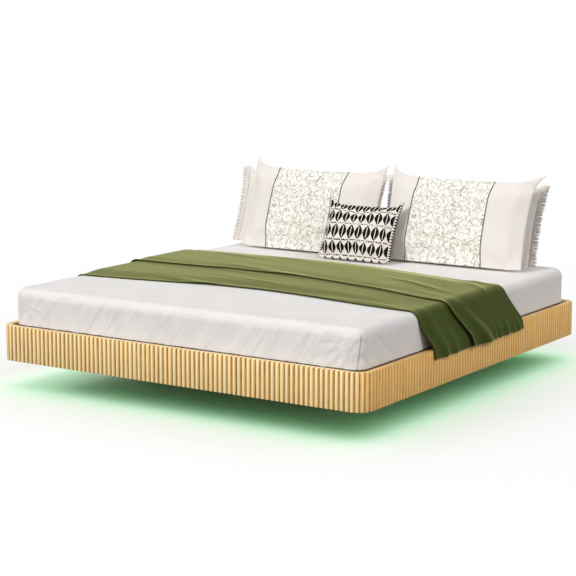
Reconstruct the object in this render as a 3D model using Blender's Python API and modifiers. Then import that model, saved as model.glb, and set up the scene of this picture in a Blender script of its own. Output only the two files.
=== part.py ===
"""A floating bed: a reeded timber frame carried clear of the floor by a recessed plinth, with its bedding.

Lengths are in metres. +X is the right-hand side seen from the foot, +Y is towards the head, +Z is up, and
the origin is on the floor under the middle of the frame. Front means the foot end and rear the head end.
"""

import math

import bmesh
import bpy
from mathutils import Vector

# Mattress, which the frame is made to measure for
MATTRESS_WIDTH = 1.93
MATTRESS_LENGTH = 2.03
MATTRESS_HEIGHT = 0.24
MATTRESS_GAP = 0.02
MATTRESS_CORNER_RADIUS = 0.055
MATTRESS_EDGE_RADIUS = 0.04
MATTRESS_CORNER_STEPS = 5
MATTRESS_EDGE_STEPS = 4

# Reeded frame
FLOOR_CLEARANCE = 0.13
RAIL_HEIGHT = 0.17
RAIL_THICKNESS = 0.03
CORNER_RADIUS = 0.076
REED_PITCH = 0.025
REED_DEPTH = 0.008
REED_STEPS = 4
CORNER_INNER_STEPS = 6

# Clearance between pieces that touch or are fastened together
SEAT_GAP = 0.0003

# Points of a turned profile closer than this become one where it meets its axis
WELD_DISTANCE = 0.00005

# A bevel's profile that is a true quarter circle
ROUND_PROFILE_SHARE = 0.5

# Timber under the mattress, from the top down
SLAT_COUNT = 11
SLAT_WIDTH = 0.09
SLAT_THICKNESS = 0.018
SLAT_END_GAP = 0.002
SLAT_CORNER_GAP = 0.004
BEARER_HEIGHT = 0.036
BEARER_WIDTH = 0.045
BEARER_OFFSET = 0.33
LEDGER_WIDTH = 0.03
JOIST_HEIGHT = 0.036
JOIST_WIDTH = 0.06

# Recessed plinth
PLINTH_END_INSET = 0.55
PLINTH_SIDE_INSET = 0.45
PLINTH_BOARD = 0.022
BLOCK_SIZE = 0.07
BLOCK_HEIGHT = 0.06

# Levelling feet, turned about a vertical axis
FOOT_PAD_RADIUS = 0.022
FOOT_PAD_HEIGHT = 0.007
FOOT_PAD_CHAMFER = 0.002
FOOT_NECK_RADIUS = 0.006
FOOT_NECK_HEIGHT = 0.005
FOOT_COLLAR_RADIUS = 0.011
FOOT_COLLAR_HEIGHT = 0.008
FOOT_STEM_RADIUS = 0.005
FOOT_STEM_LENGTH = 0.045
FOOT_HOLE_CLEARANCE = 0.0006
FOOT_TURN_STEPS = 12

# Light strips inside the bottom edge of the rails
STRIP_WIDTH = 0.012
STRIP_HEIGHT = 0.01
STRIP_EDGE_RADIUS = 0.003
STRIP_EDGE_STEPS = 2
STRIP_END_GAP = 0.006

# Controller of the light strips, on the inner face of the right-hand rail
CONTROLLER_LENGTH = 0.1
CONTROLLER_HEIGHT = 0.031
CONTROLLER_DEPTH = 0.0194
CONTROLLER_WALL = 0.002
CONTROLLER_LEVEL = 0.0125
CONTROLLER_FROM_HEAD = 0.29
CONTROLLER_BASE_PLATE = 0.003
BOARD_RIB_HEIGHT = 0.003
BOARD_RIB_WIDTH = 0.003
BOARD_THICKNESS = 0.0016
BOARD_MARGIN = 0.0012
BUTTON_COUNT = 3
BUTTON_PITCH = 0.022
BUTTON_RADIUS = 0.004
BUTTON_PROUD = 0.0013
BUTTON_TRAVEL = 0.001
BUTTON_FLANGE_RADIUS = 0.0055
BUTTON_FLANGE_THICKNESS = 0.001
BUTTON_STEM_RADIUS = 0.0018
BUTTON_HOLE_CLEARANCE = 0.0004
BUTTON_TURN_STEPS = 16
INLET_RADIUS = 0.0048
INLET_BORE_RADIUS = 0.0034
INLET_BORE_DEPTH = 0.01
INLET_LENGTH = 0.013
INLET_PROUD = 0.001
INLET_STEPS = 16
CUT_OVERRUN = 0.004

# Fitted sheet, a skin over the mattress
SHEET_THICKNESS = 0.002
SHEET_GAP = 0.0004

# Throw, doubled over at its far edge and hung over both sides
THROW_WIDTH = 0.93
THROW_THICKNESS = 0.004
THROW_LAYER_GAP = 0.001
THROW_SHEET_GAP = 0.0008
THROW_RAIL_CLEARANCE = 0.003
THROW_HEM_DROP = 0.043
THROW_FOLD_DEPTH = 0.012
THROW_FOLD_PITCH = 0.17
THROW_FLAT_STEPS = 5
THROW_SHOULDER_STEPS = 4
THROW_SLOPE_STEPS = 3
THROW_HANG_STEPS = 2
THROW_LOWER_STEPS = 7
THROW_TURN_STEPS = 3
THROW_UPPER_STEPS = 5
# Where its edges lie along the bed at the left hem, left shoulder, middle, right shoulder and right hem,
# as shares of its width
THROW_NEAR_SHARES = (-0.54, -0.59, -0.46, -0.58, -0.50)
THROW_LAYER_SHARES = (-0.06, -0.12, -0.09, -0.28, -0.13)
THROW_FAR_SHARES = (0.44, 0.47, 0.50, 0.33, 0.45)

# Pillow shams and the accent cushion
SHAM_WIDTH = 0.84
SHAM_HEIGHT = 0.505
SHAM_THICKNESS = 0.125
SHAM_LEAN = math.radians(18.0)
SHAM_PAIR_GAP = 0.035
FRONT_SHAM_FOOT_FROM_HEAD = 0.295
FRONT_SHAM_SHIFT = 0.01
REAR_SHAM_WIDTH = 0.88
REAR_SHAM_HEIGHT = 0.45
REAR_SHAM_THICKNESS = 0.105
REAR_SHAM_PAIR_GAP = 0.055
REAR_SHAM_SHIFT = -0.06
ACCENT_WIDTH = 0.46
ACCENT_HEIGHT = 0.35
ACCENT_THICKNESS = 0.11
ACCENT_LEAN = math.radians(24.0)
ACCENT_SHIFT = -0.04
CUSHION_SEAM = 0.01
CUSHION_DRAW_IN = 0.04
CUSHION_SIDE_DRAW_IN = 0.018
CUSHION_SINK = 0.008
CUSHION_GAP = 0.001
CUSHION_FILL_POWER = 0.45
CUSHION_SLUMP_SHARE = 0.9
CUSHION_FOOT_DRAW_SHARE = 0.2
SHAM_COLUMNS = 12
SHAM_ROWS = 8
ACCENT_COLUMNS = 10

# Sizes worked out from the ones above
INNER_HALF_WIDTH = MATTRESS_WIDTH / 2 + MATTRESS_GAP
INNER_HALF_LENGTH = MATTRESS_LENGTH / 2 + MATTRESS_GAP
HALF_WIDTH = INNER_HALF_WIDTH + RAIL_THICKNESS
HALF_LENGTH = INNER_HALF_LENGTH + RAIL_THICKNESS
STRAIGHT_HALF_WIDTH = HALF_WIDTH - CORNER_RADIUS
STRAIGHT_HALF_LENGTH = HALF_LENGTH - CORNER_RADIUS
RAIL_TOP = FLOOR_CLEARANCE + RAIL_HEIGHT
JOIST_BOTTOM = FLOOR_CLEARANCE + STRIP_HEIGHT + SEAT_GAP
JOIST_TOP = JOIST_BOTTOM + JOIST_HEIGHT
BEARER_BOTTOM = JOIST_TOP + SEAT_GAP
BEARER_TOP = BEARER_BOTTOM + BEARER_HEIGHT
SLAT_BOTTOM = BEARER_TOP + SEAT_GAP
SLAT_TOP = SLAT_BOTTOM + SLAT_THICKNESS
MATTRESS_BOTTOM = SLAT_TOP + SEAT_GAP
MATTRESS_TOP = MATTRESS_BOTTOM + MATTRESS_HEIGHT
SHEET_TOP = MATTRESS_TOP + SHEET_GAP + SHEET_THICKNESS
SHEET_HALF_WIDTH = MATTRESS_WIDTH / 2 + SHEET_GAP + SHEET_THICKNESS
FOOT_COLLAR_TOP = FOOT_PAD_HEIGHT + FOOT_NECK_HEIGHT + FOOT_COLLAR_HEIGHT
PLINTH_BOTTOM = FOOT_COLLAR_TOP + SEAT_GAP
PLINTH_TOP = JOIST_BOTTOM - SEAT_GAP
PLINTH_HALF_WIDTH = HALF_WIDTH - PLINTH_SIDE_INSET
PLINTH_HALF_LENGTH = HALF_LENGTH - PLINTH_END_INSET

SIDES = {"left": -1, "right": 1}
ENDS = {"front": -1, "rear": 1}

OAK = {"colour": (0.80, 0.57, 0.32), "roughness": 0.5, "metallic": 0.0}
PINE = {"colour": (0.78, 0.66, 0.48), "roughness": 0.65, "metallic": 0.0}
PLINTH_PAINT = {"colour": (0.05, 0.05, 0.05), "roughness": 0.7, "metallic": 0.0}
ZINC = {"colour": (0.55, 0.56, 0.58), "roughness": 0.35, "metallic": 1.0}
SILICONE = {"colour": (0.62, 0.95, 0.70), "roughness": 0.4, "metallic": 0.0}
BLACK_PLASTIC = {"colour": (0.03, 0.03, 0.03), "roughness": 0.45, "metallic": 0.0}
GREY_PLASTIC = {"colour": (0.45, 0.46, 0.47), "roughness": 0.5, "metallic": 0.0}
CIRCUIT_BOARD = {"colour": (0.04, 0.22, 0.10), "roughness": 0.5, "metallic": 0.0}
TICKING = {"colour": (0.86, 0.86, 0.84), "roughness": 0.9, "metallic": 0.0}
COTTON = {"colour": (0.83, 0.81, 0.78), "roughness": 0.9, "metallic": 0.0}
VELVET = {"colour": (0.24, 0.29, 0.10), "roughness": 0.85, "metallic": 0.0}
SHAM_LINEN = {"colour": (0.85, 0.81, 0.75), "roughness": 0.9, "metallic": 0.0}
ACCENT_WEAVE = {"colour": (0.42, 0.40, 0.36), "roughness": 0.9, "metallic": 0.0}


def clear_scene():
    """Remove every object, and the collections that an earlier run made."""
    for old in list(bpy.data.objects):
        bpy.data.objects.remove(old, do_unlink=True)
    for old in list(bpy.data.collections):
        bpy.data.collections.remove(old)


def new_collection(name):
    collection = bpy.data.collections.new(name)
    bpy.context.scene.collection.children.link(collection)
    return collection


clear_scene()
BED = new_collection("floating_bed")
CUTTERS = new_collection("cutters")


def new_material(name, finish):
    """A Principled material with the finish's colour, roughness and metallic value."""
    material = bpy.data.materials.new(name)
    material.use_nodes = True
    shader = material.node_tree.nodes["Principled BSDF"]
    shader.inputs["Base Color"].default_value = (*finish["colour"], 1.0)
    shader.inputs["Roughness"].default_value = finish["roughness"]
    shader.inputs["Metallic"].default_value = finish["metallic"]
    material.diffuse_color = (*finish["colour"], 1.0)
    return material


def add_part(name, data, finish, location=(0, 0, 0)):
    """Put a mesh or curve in the bed's collection under its own name, with its own material."""
    part = bpy.data.objects.new(name, data)
    data.materials.append(new_material(name, finish))
    part.location = location
    BED.objects.link(part)
    return part


def add_cutter(name, data, location=(0, 0, 0)):
    cutter = bpy.data.objects.new(name, data)
    cutter.location = location
    cutter.hide_render = True
    cutter.display_type = "WIRE"
    CUTTERS.objects.link(cutter)
    return cutter


def mesh_from(bm, name):
    """Turn a bmesh into a mesh with its faces pointing out, and free it."""
    bmesh.ops.recalc_face_normals(bm, faces=bm.faces[:])
    mesh = bpy.data.meshes.new(name)
    bm.to_mesh(mesh)
    bm.free()
    return mesh


def box_mesh(name, low, high):
    """A box between two corners."""
    size = [b - a for a, b in zip(low, high)]
    middle = [(a + b) / 2 for a, b in zip(low, high)]
    bm = bmesh.new()
    bmesh.ops.create_cube(bm, size=1)
    bmesh.ops.scale(bm, vec=size, verts=bm.verts[:])
    bmesh.ops.translate(bm, vec=middle, verts=bm.verts[:])
    return mesh_from(bm, name)


def cylinder_mesh(name, radius, depth, steps, axis):
    """A cylinder about the origin, lying along X, Y or Z."""
    bm = bmesh.new()
    bmesh.ops.create_cone(bm, cap_ends=True, segments=steps, radius1=radius, radius2=radius, depth=depth)
    for vertex in bm.verts:
        x, y, z = vertex.co
        vertex.co = {"X": (z, y, -x), "Y": (x, z, -y), "Z": (x, y, z)}[axis]
    return mesh_from(bm, name)


def outline_solid(name, points, low, high, finish):
    """A flat outline in plan, filled and extruded from one height to another."""
    curve = bpy.data.curves.new(name, "CURVE")
    curve.dimensions = "2D"
    curve.fill_mode = "BOTH"
    curve.extrude = (high - low) / 2
    spline = curve.splines.new("POLY")
    spline.points.add(len(points) - 1)
    for slot, (x, y) in zip(spline.points, points):
        slot.co = (x, y, 0, 1)
    spline.use_cyclic_u = True
    return add_part(name, curve, finish, (0, 0, (low + high) / 2))


def turned_solid(name, profile, steps, finish, location):
    """A profile of (radius, height) points, top to bottom, turned about the vertical axis."""
    bm = bmesh.new()
    corners = [bm.verts.new((radius, 0, height)) for radius, height in profile]
    for first, second in zip(corners, corners[1:]):
        bm.edges.new((first, second))
    mesh = bpy.data.meshes.new(name)
    bm.to_mesh(mesh)
    bm.free()
    part = add_part(name, mesh, finish, location)
    turn = part.modifiers.new("turn", "SCREW")
    turn.steps = steps
    turn.render_steps = steps
    turn.use_merge_vertices = True
    turn.merge_threshold = WELD_DISTANCE
    turn.use_smooth_shade = False
    return part


def cut(part, cutter):
    """Take the cutter's shape out of the part."""
    boolean = part.modifiers.new(cutter.name, "BOOLEAN")
    boolean.operation = "DIFFERENCE"
    boolean.solver = "EXACT"
    boolean.object = cutter


def reeds(place, outward, length):
    """Outline points of the reeds on one run: place and outward give the crest line at a share of it."""
    count = max(1, round(length / REED_PITCH))
    points = []
    for reed in range(count):
        for step in range(REED_STEPS):
            angle = math.pi * step / REED_STEPS
            share = (reed + (1 - math.cos(angle)) / 2) / count
            points.append(place(share) - outward(share) * REED_DEPTH * (1 - math.sin(angle)))
    points.append(place(1) - outward(1) * REED_DEPTH)
    return points


def make_rail(name, start, end, outward):
    """A rail between two corner posts, reeded on its outer face."""
    run = end - start
    points = reeds(lambda share: start + run * share, lambda share: outward, run.length)
    points.append(end - outward * RAIL_THICKNESS)
    points.append(start - outward * RAIL_THICKNESS)
    return outline_solid(name, points, FLOOR_CLEARANCE, RAIL_TOP, OAK)


def make_rails():
    half_x = STRAIGHT_HALF_WIDTH - SEAT_GAP
    half_y = STRAIGHT_HALF_LENGTH - SEAT_GAP
    for end, sign in ENDS.items():
        outward = Vector((0, sign))
        start = Vector((half_x * sign, HALF_LENGTH * sign))
        make_rail(f"rail_{end}", start, Vector((-half_x * sign, HALF_LENGTH * sign)), outward)
    for side, sign in SIDES.items():
        outward = Vector((sign, 0))
        start = Vector((HALF_WIDTH * sign, -half_y * sign))
        make_rail(f"rail_{side}", start, Vector((HALF_WIDTH * sign, half_y * sign)), outward)


def make_corner_post(name, side, end):
    """A quarter ring that carries the reeds round a corner of the frame."""
    centre = Vector((STRAIGHT_HALF_WIDTH * side, STRAIGHT_HALF_LENGTH * end))
    inner_radius = CORNER_RADIUS - RAIL_THICKNESS

    def outward(share):
        angle = math.pi / 2 * share
        return Vector((math.cos(angle) * side, math.sin(angle) * end))

    points = reeds(
        lambda share: centre + outward(share) * CORNER_RADIUS, outward, CORNER_RADIUS * math.pi / 2
    )
    for step in range(CORNER_INNER_STEPS, -1, -1):
        points.append(centre + outward(step / CORNER_INNER_STEPS) * inner_radius)
    return outline_solid(name, points, FLOOR_CLEARANCE, RAIL_TOP, OAK)


def make_corner_posts():
    for end, end_sign in ENDS.items():
        for side, side_sign in SIDES.items():
            make_corner_post(f"corner_{end}_{side}", side_sign, end_sign)


def make_ledgers():
    """Timbers along the inner faces of the rails, level with the bearers."""
    outer_x = INNER_HALF_WIDTH - SEAT_GAP
    outer_y = INNER_HALF_LENGTH - SEAT_GAP
    for side, sign in SIDES.items():
        ends = sorted((outer_x * sign, (outer_x - LEDGER_WIDTH) * sign))
        low = (ends[0], -STRAIGHT_HALF_LENGTH, BEARER_BOTTOM)
        high = (ends[1], STRAIGHT_HALF_LENGTH, BEARER_TOP)
        add_part(f"ledger_{side}", box_mesh(f"ledger_{side}", low, high), PINE)
    for end, sign in ENDS.items():
        ends = sorted((outer_y * sign, (outer_y - LEDGER_WIDTH) * sign))
        low = (-STRAIGHT_HALF_WIDTH, ends[0], BEARER_BOTTOM)
        high = (STRAIGHT_HALF_WIDTH, ends[1], BEARER_TOP)
        add_part(f"ledger_{end}", box_mesh(f"ledger_{end}", low, high), PINE)


def make_bearers():
    """Two lengthwise timbers that lie on the joists and carry the slats between the ledgers."""
    ledger_face = INNER_HALF_LENGTH - SEAT_GAP - LEDGER_WIDTH
    half_length = ledger_face - SEAT_GAP
    for side, sign in SIDES.items():
        low = (BEARER_OFFSET * sign - BEARER_WIDTH / 2, -half_length, BEARER_BOTTOM)
        high = (BEARER_OFFSET * sign + BEARER_WIDTH / 2, half_length, BEARER_TOP)
        add_part(f"bearer_{side}", box_mesh(f"bearer_{side}", low, high), PINE)


def make_joists():
    """Three timbers across the plinth that reach out to the side rails."""
    reach = INNER_HALF_WIDTH - SEAT_GAP
    over_board = PLINTH_HALF_LENGTH - PLINTH_BOARD / 2
    for name, middle in {"front": -over_board, "middle": 0, "rear": over_board}.items():
        low = (-reach, middle - JOIST_WIDTH / 2, JOIST_BOTTOM)
        high = (reach, middle + JOIST_WIDTH / 2, JOIST_TOP)
        add_part(f"cross_joist_{name}", box_mesh(f"cross_joist_{name}", low, high), PINE)


def make_slats():
    """Slats side to side on the ledgers and bearers, evenly spaced clear of the corner posts."""
    half_length = INNER_HALF_WIDTH - SLAT_END_GAP
    outermost = STRAIGHT_HALF_LENGTH - SLAT_CORNER_GAP - SLAT_WIDTH / 2
    for index in range(SLAT_COUNT):
        middle = outermost * (2 * index / (SLAT_COUNT - 1) - 1)
        low = (-half_length, middle - SLAT_WIDTH / 2, SLAT_BOTTOM)
        high = (half_length, middle + SLAT_WIDTH / 2, SLAT_TOP)
        name = f"slat_{index + 1:02d}"
        add_part(name, box_mesh(name, low, high), PINE)


def make_plinth():
    """Four boards set back under the frame: the end ones run the full width."""
    for end, sign in ENDS.items():
        ends = sorted((PLINTH_HALF_LENGTH * sign, (PLINTH_HALF_LENGTH - PLINTH_BOARD) * sign))
        low = (-PLINTH_HALF_WIDTH, ends[0], PLINTH_BOTTOM)
        high = (PLINTH_HALF_WIDTH, ends[1], PLINTH_TOP)
        add_part(f"plinth_{end}", box_mesh(f"plinth_{end}", low, high), PLINTH_PAINT)
    half_length = PLINTH_HALF_LENGTH - PLINTH_BOARD - SEAT_GAP
    for side, sign in SIDES.items():
        ends = sorted((PLINTH_HALF_WIDTH * sign, (PLINTH_HALF_WIDTH - PLINTH_BOARD) * sign))
        low = (ends[0], -half_length, PLINTH_BOTTOM)
        high = (ends[1], half_length, PLINTH_TOP)
        add_part(f"plinth_{side}", box_mesh(f"plinth_{side}", low, high), PLINTH_PAINT)


def foot_profile():
    """Radius and height of a levelling foot: stem, collar, neck and pad."""
    collar_bottom = FOOT_PAD_HEIGHT + FOOT_NECK_HEIGHT
    return [
        (0, FOOT_COLLAR_TOP + FOOT_STEM_LENGTH),
        (FOOT_STEM_RADIUS, FOOT_COLLAR_TOP + FOOT_STEM_LENGTH),
        (FOOT_STEM_RADIUS, FOOT_COLLAR_TOP),
        (FOOT_COLLAR_RADIUS, FOOT_COLLAR_TOP),
        (FOOT_COLLAR_RADIUS, collar_bottom),
        (FOOT_NECK_RADIUS, collar_bottom),
        (FOOT_NECK_RADIUS, FOOT_PAD_HEIGHT),
        (FOOT_PAD_RADIUS - FOOT_PAD_CHAMFER, FOOT_PAD_HEIGHT),
        (FOOT_PAD_RADIUS, FOOT_PAD_HEIGHT - FOOT_PAD_CHAMFER),
        (FOOT_PAD_RADIUS, 0),
        (0, 0),
    ]


def make_blocks_and_feet():
    """A block in each corner of the plinth, with a levelling foot screwed up into it."""
    offset_x = PLINTH_HALF_WIDTH - PLINTH_BOARD - SEAT_GAP - BLOCK_SIZE / 2
    offset_y = PLINTH_HALF_LENGTH - PLINTH_BOARD - SEAT_GAP - BLOCK_SIZE / 2
    hole_radius = FOOT_STEM_RADIUS + FOOT_HOLE_CLEARANCE
    half = BLOCK_SIZE / 2
    for end, end_sign in ENDS.items():
        for side, side_sign in SIDES.items():
            x = offset_x * side_sign
            y = offset_y * end_sign
            name = f"plinth_block_{end}_{side}"
            mesh = box_mesh(name, (-half, -half, 0), (half, half, BLOCK_HEIGHT))
            block = add_part(name, mesh, PINE, (x, y, PLINTH_BOTTOM))
            depth = BLOCK_HEIGHT + CUT_OVERRUN * 2
            hole = cylinder_mesh(f"{name}_hole", hole_radius, depth, FOOT_TURN_STEPS, "Z")
            place = (x, y, PLINTH_BOTTOM + BLOCK_HEIGHT / 2)
            cut(block, add_cutter(f"{name}_hole", hole, place))
            foot = f"levelling_foot_{end}_{side}"
            turned_solid(foot, foot_profile(), FOOT_TURN_STEPS, ZINC, (x, y, 0))


def make_light_strips():
    """Light strips on the inner faces of the rails, flush with their bottom edges."""
    outer_x = INNER_HALF_WIDTH - SEAT_GAP
    outer_y = INNER_HALF_LENGTH - SEAT_GAP
    half_x = STRAIGHT_HALF_WIDTH - STRIP_END_GAP
    half_y = STRAIGHT_HALF_LENGTH - STRIP_END_GAP
    top = FLOOR_CLEARANCE + STRIP_HEIGHT
    corners = {}
    for end, sign in ENDS.items():
        ends = sorted((outer_y * sign, (outer_y - STRIP_WIDTH) * sign))
        corners[end] = ((-half_x, ends[0], FLOOR_CLEARANCE), (half_x, ends[1], top))
    for side, sign in SIDES.items():
        ends = sorted((outer_x * sign, (outer_x - STRIP_WIDTH) * sign))
        corners[side] = ((ends[0], -half_y, FLOOR_CLEARANCE), (ends[1], half_y, top))
    for place, (low, high) in corners.items():
        name = f"light_strip_{place}"
        strip = add_part(name, box_mesh(name, low, high), SILICONE)
        rounding = strip.modifiers.new("rounding", "BEVEL")
        rounding.width = STRIP_EDGE_RADIUS
        rounding.segments = STRIP_EDGE_STEPS
        rounding.limit_method = "ANGLE"


def controller_places():
    """Planes of the controller along X, from the rail inwards, and its middle along Y and Z."""
    back = INNER_HALF_WIDTH - SEAT_GAP
    plate = back - CONTROLLER_BASE_PLATE
    rib = plate - BOARD_RIB_HEIGHT
    board_back = rib - SEAT_GAP
    board_front = board_back - BOARD_THICKNESS
    cover_back = plate - SEAT_GAP
    cover_front = cover_back - CONTROLLER_DEPTH
    return {
        "back": back,
        "plate": plate,
        "rib": rib,
        "board_back": board_back,
        "board_front": board_front,
        "cover_back": cover_back,
        "cover_front": cover_front,
        "cover_inside": cover_front + CONTROLLER_WALL,
        "y": INNER_HALF_LENGTH - CONTROLLER_FROM_HEAD,
        "z": FLOOR_CLEARANCE + CONTROLLER_LEVEL + CONTROLLER_HEIGHT / 2,
    }


def make_controller_base(at):
    """The plate against the rail, with a rib along each side of the circuit board."""
    half = CONTROLLER_HEIGHT / 2
    rib_outer = half - CONTROLLER_WALL - BOARD_MARGIN
    rib_inner = rib_outer - BOARD_RIB_WIDTH
    # The cross-section lies in plan here, and is stood up afterwards, so that it runs along Y
    section = [
        (at["back"], -half),
        (at["back"], half),
        (at["plate"], half),
        (at["plate"], rib_outer),
        (at["rib"], rib_outer),
        (at["rib"], rib_inner),
        (at["plate"], rib_inner),
        (at["plate"], -rib_inner),
        (at["rib"], -rib_inner),
        (at["rib"], -rib_outer),
        (at["plate"], -rib_outer),
        (at["plate"], -half),
    ]
    half_rib = CONTROLLER_LENGTH / 2 - CONTROLLER_WALL - BOARD_MARGIN
    base = outline_solid("controller_base", section, -half_rib, half_rib, BLACK_PLASTIC)
    base.rotation_euler = (math.pi / 2, 0, 0)
    base.location = (0, at["y"], at["z"])


def make_controller_board(at):
    half_y = CONTROLLER_LENGTH / 2 - CONTROLLER_WALL - BOARD_MARGIN
    half_z = CONTROLLER_HEIGHT / 2 - CONTROLLER_WALL - BOARD_MARGIN
    low = (at["board_front"], at["y"] - half_y, at["z"] - half_z)
    high = (at["board_back"], at["y"] + half_y, at["z"] + half_z)
    add_part("controller_board", box_mesh("controller_board", low, high), CIRCUIT_BOARD)


def button_places(at):
    """Middle of each button along Y."""
    return [at["y"] + BUTTON_PITCH * (index - (BUTTON_COUNT - 1) / 2) for index in range(BUTTON_COUNT)]


def make_controller_cover(at):
    """A shell open towards the rail, with holes for the buttons and for the inlet."""
    half_y = CONTROLLER_LENGTH / 2
    half_z = CONTROLLER_HEIGHT / 2
    low = (at["cover_front"], at["y"] - half_y, at["z"] - half_z)
    high = (at["cover_back"], at["y"] + half_y, at["z"] + half_z)
    cover = add_part("controller_cover", box_mesh("controller_cover", low, high), BLACK_PLASTIC)
    inner_y = half_y - CONTROLLER_WALL
    inner_z = half_z - CONTROLLER_WALL
    low = (at["cover_inside"], at["y"] - inner_y, at["z"] - inner_z)
    high = (at["cover_back"] + CUT_OVERRUN, at["y"] + inner_y, at["z"] + inner_z)
    cut(cover, add_cutter("controller_hollow", box_mesh("controller_hollow", low, high)))
    hole_depth = CONTROLLER_WALL + CUT_OVERRUN
    hole_middle = at["cover_front"] + CONTROLLER_WALL / 2
    for index, y in enumerate(button_places(at)):
        name = f"button_hole_{index + 1}"
        radius = BUTTON_RADIUS + BUTTON_HOLE_CLEARANCE
        hole = cylinder_mesh(name, radius, hole_depth, BUTTON_TURN_STEPS, "X")
        cut(cover, add_cutter(name, hole, (hole_middle, y, at["z"])))
    radius = INLET_RADIUS + BUTTON_HOLE_CLEARANCE
    hole = cylinder_mesh("inlet_hole", radius, hole_depth, INLET_STEPS, "Y")
    place = (inlet_x(at), at["y"] - half_y + CONTROLLER_WALL / 2, at["z"])
    cut(cover, add_cutter("inlet_hole", hole, place))


def inlet_x(at):
    """The inlet lies on the face of the circuit board."""
    return at["board_front"] - SEAT_GAP - INLET_RADIUS


def make_power_inlet(at):
    """A round low-voltage socket in the end of the controller, open towards the foot."""
    mouth = at["y"] - CONTROLLER_LENGTH / 2 - INLET_PROUD
    body = cylinder_mesh("power_inlet", INLET_RADIUS, INLET_LENGTH, INLET_STEPS, "Y")
    place = (inlet_x(at), mouth + INLET_LENGTH / 2, at["z"])
    inlet = add_part("power_inlet", body, GREY_PLASTIC, place)
    depth = INLET_BORE_DEPTH + CUT_OVERRUN
    bore = cylinder_mesh("inlet_bore", INLET_BORE_RADIUS, depth, INLET_STEPS, "Y")
    place = (inlet_x(at), mouth + INLET_BORE_DEPTH - depth / 2, at["z"])
    cut(inlet, add_cutter("inlet_bore", bore, place))


def make_buttons(at):
    """Buttons that press towards the rail: cap, retaining flange and stem, turned about X."""
    flange_front = CONTROLLER_WALL + SEAT_GAP
    stem_end = at["board_front"] - at["cover_front"] - BUTTON_TRAVEL - SEAT_GAP
    profile = [
        (0, stem_end),
        (BUTTON_STEM_RADIUS, stem_end),
        (BUTTON_STEM_RADIUS, flange_front + BUTTON_FLANGE_THICKNESS),
        (BUTTON_FLANGE_RADIUS, flange_front + BUTTON_FLANGE_THICKNESS),
        (BUTTON_FLANGE_RADIUS, flange_front),
        (BUTTON_RADIUS, flange_front),
        (BUTTON_RADIUS, -BUTTON_PROUD),
        (0, -BUTTON_PROUD),
    ]
    for index, y in enumerate(button_places(at)):
        name = f"controller_button_{index + 1}"
        place = (at["cover_front"], y, at["z"])
        button = turned_solid(name, profile, BUTTON_TURN_STEPS, GREY_PLASTIC, place)
        button.rotation_euler = (0, math.pi / 2, 0)


def mattress_mesh(name, outset, floor):
    """A rounded block that stands out from the mattress by the outset, down to the given height."""
    half_x = MATTRESS_WIDTH / 2 + outset
    half_y = MATTRESS_LENGTH / 2 + outset
    top = MATTRESS_TOP + outset
    bm = bmesh.new()
    bmesh.ops.create_cube(bm, size=1)
    bmesh.ops.scale(bm, vec=(half_x * 2, half_y * 2, top - floor), verts=bm.verts[:])
    bmesh.ops.translate(bm, vec=(0, 0, (top + floor) / 2), verts=bm.verts[:])
    upright = [edge for edge in bm.edges if edge.verts[0].co.z != edge.verts[1].co.z]
    bmesh.ops.bevel(
        bm,
        geom=upright,
        offset=MATTRESS_CORNER_RADIUS + outset,
        segments=MATTRESS_CORNER_STEPS,
        profile=ROUND_PROFILE_SHARE,
        affect="EDGES",
    )
    middle = (top + floor) / 2
    rim = [edge for edge in bm.edges if min(vertex.co.z for vertex in edge.verts) > middle]
    bmesh.ops.bevel(
        bm,
        geom=rim,
        offset=MATTRESS_EDGE_RADIUS + outset,
        segments=MATTRESS_EDGE_STEPS,
        profile=ROUND_PROFILE_SHARE,
        affect="EDGES",
    )
    return mesh_from(bm, name)


def make_mattress_and_sheet():
    """The mattress, and the fitted sheet that covers its top and sides and is open underneath."""
    add_part("mattress", mattress_mesh("mattress", 0, MATTRESS_BOTTOM), TICKING)
    outset = SHEET_GAP + SHEET_THICKNESS
    sheet = add_part("fitted_sheet", mattress_mesh("fitted_sheet", outset, MATTRESS_BOTTOM), COTTON)
    hollow = mattress_mesh("sheet_hollow", SHEET_GAP, MATTRESS_BOTTOM - CUT_OVERRUN)
    cut(sheet, add_cutter("sheet_hollow", hollow))


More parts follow.
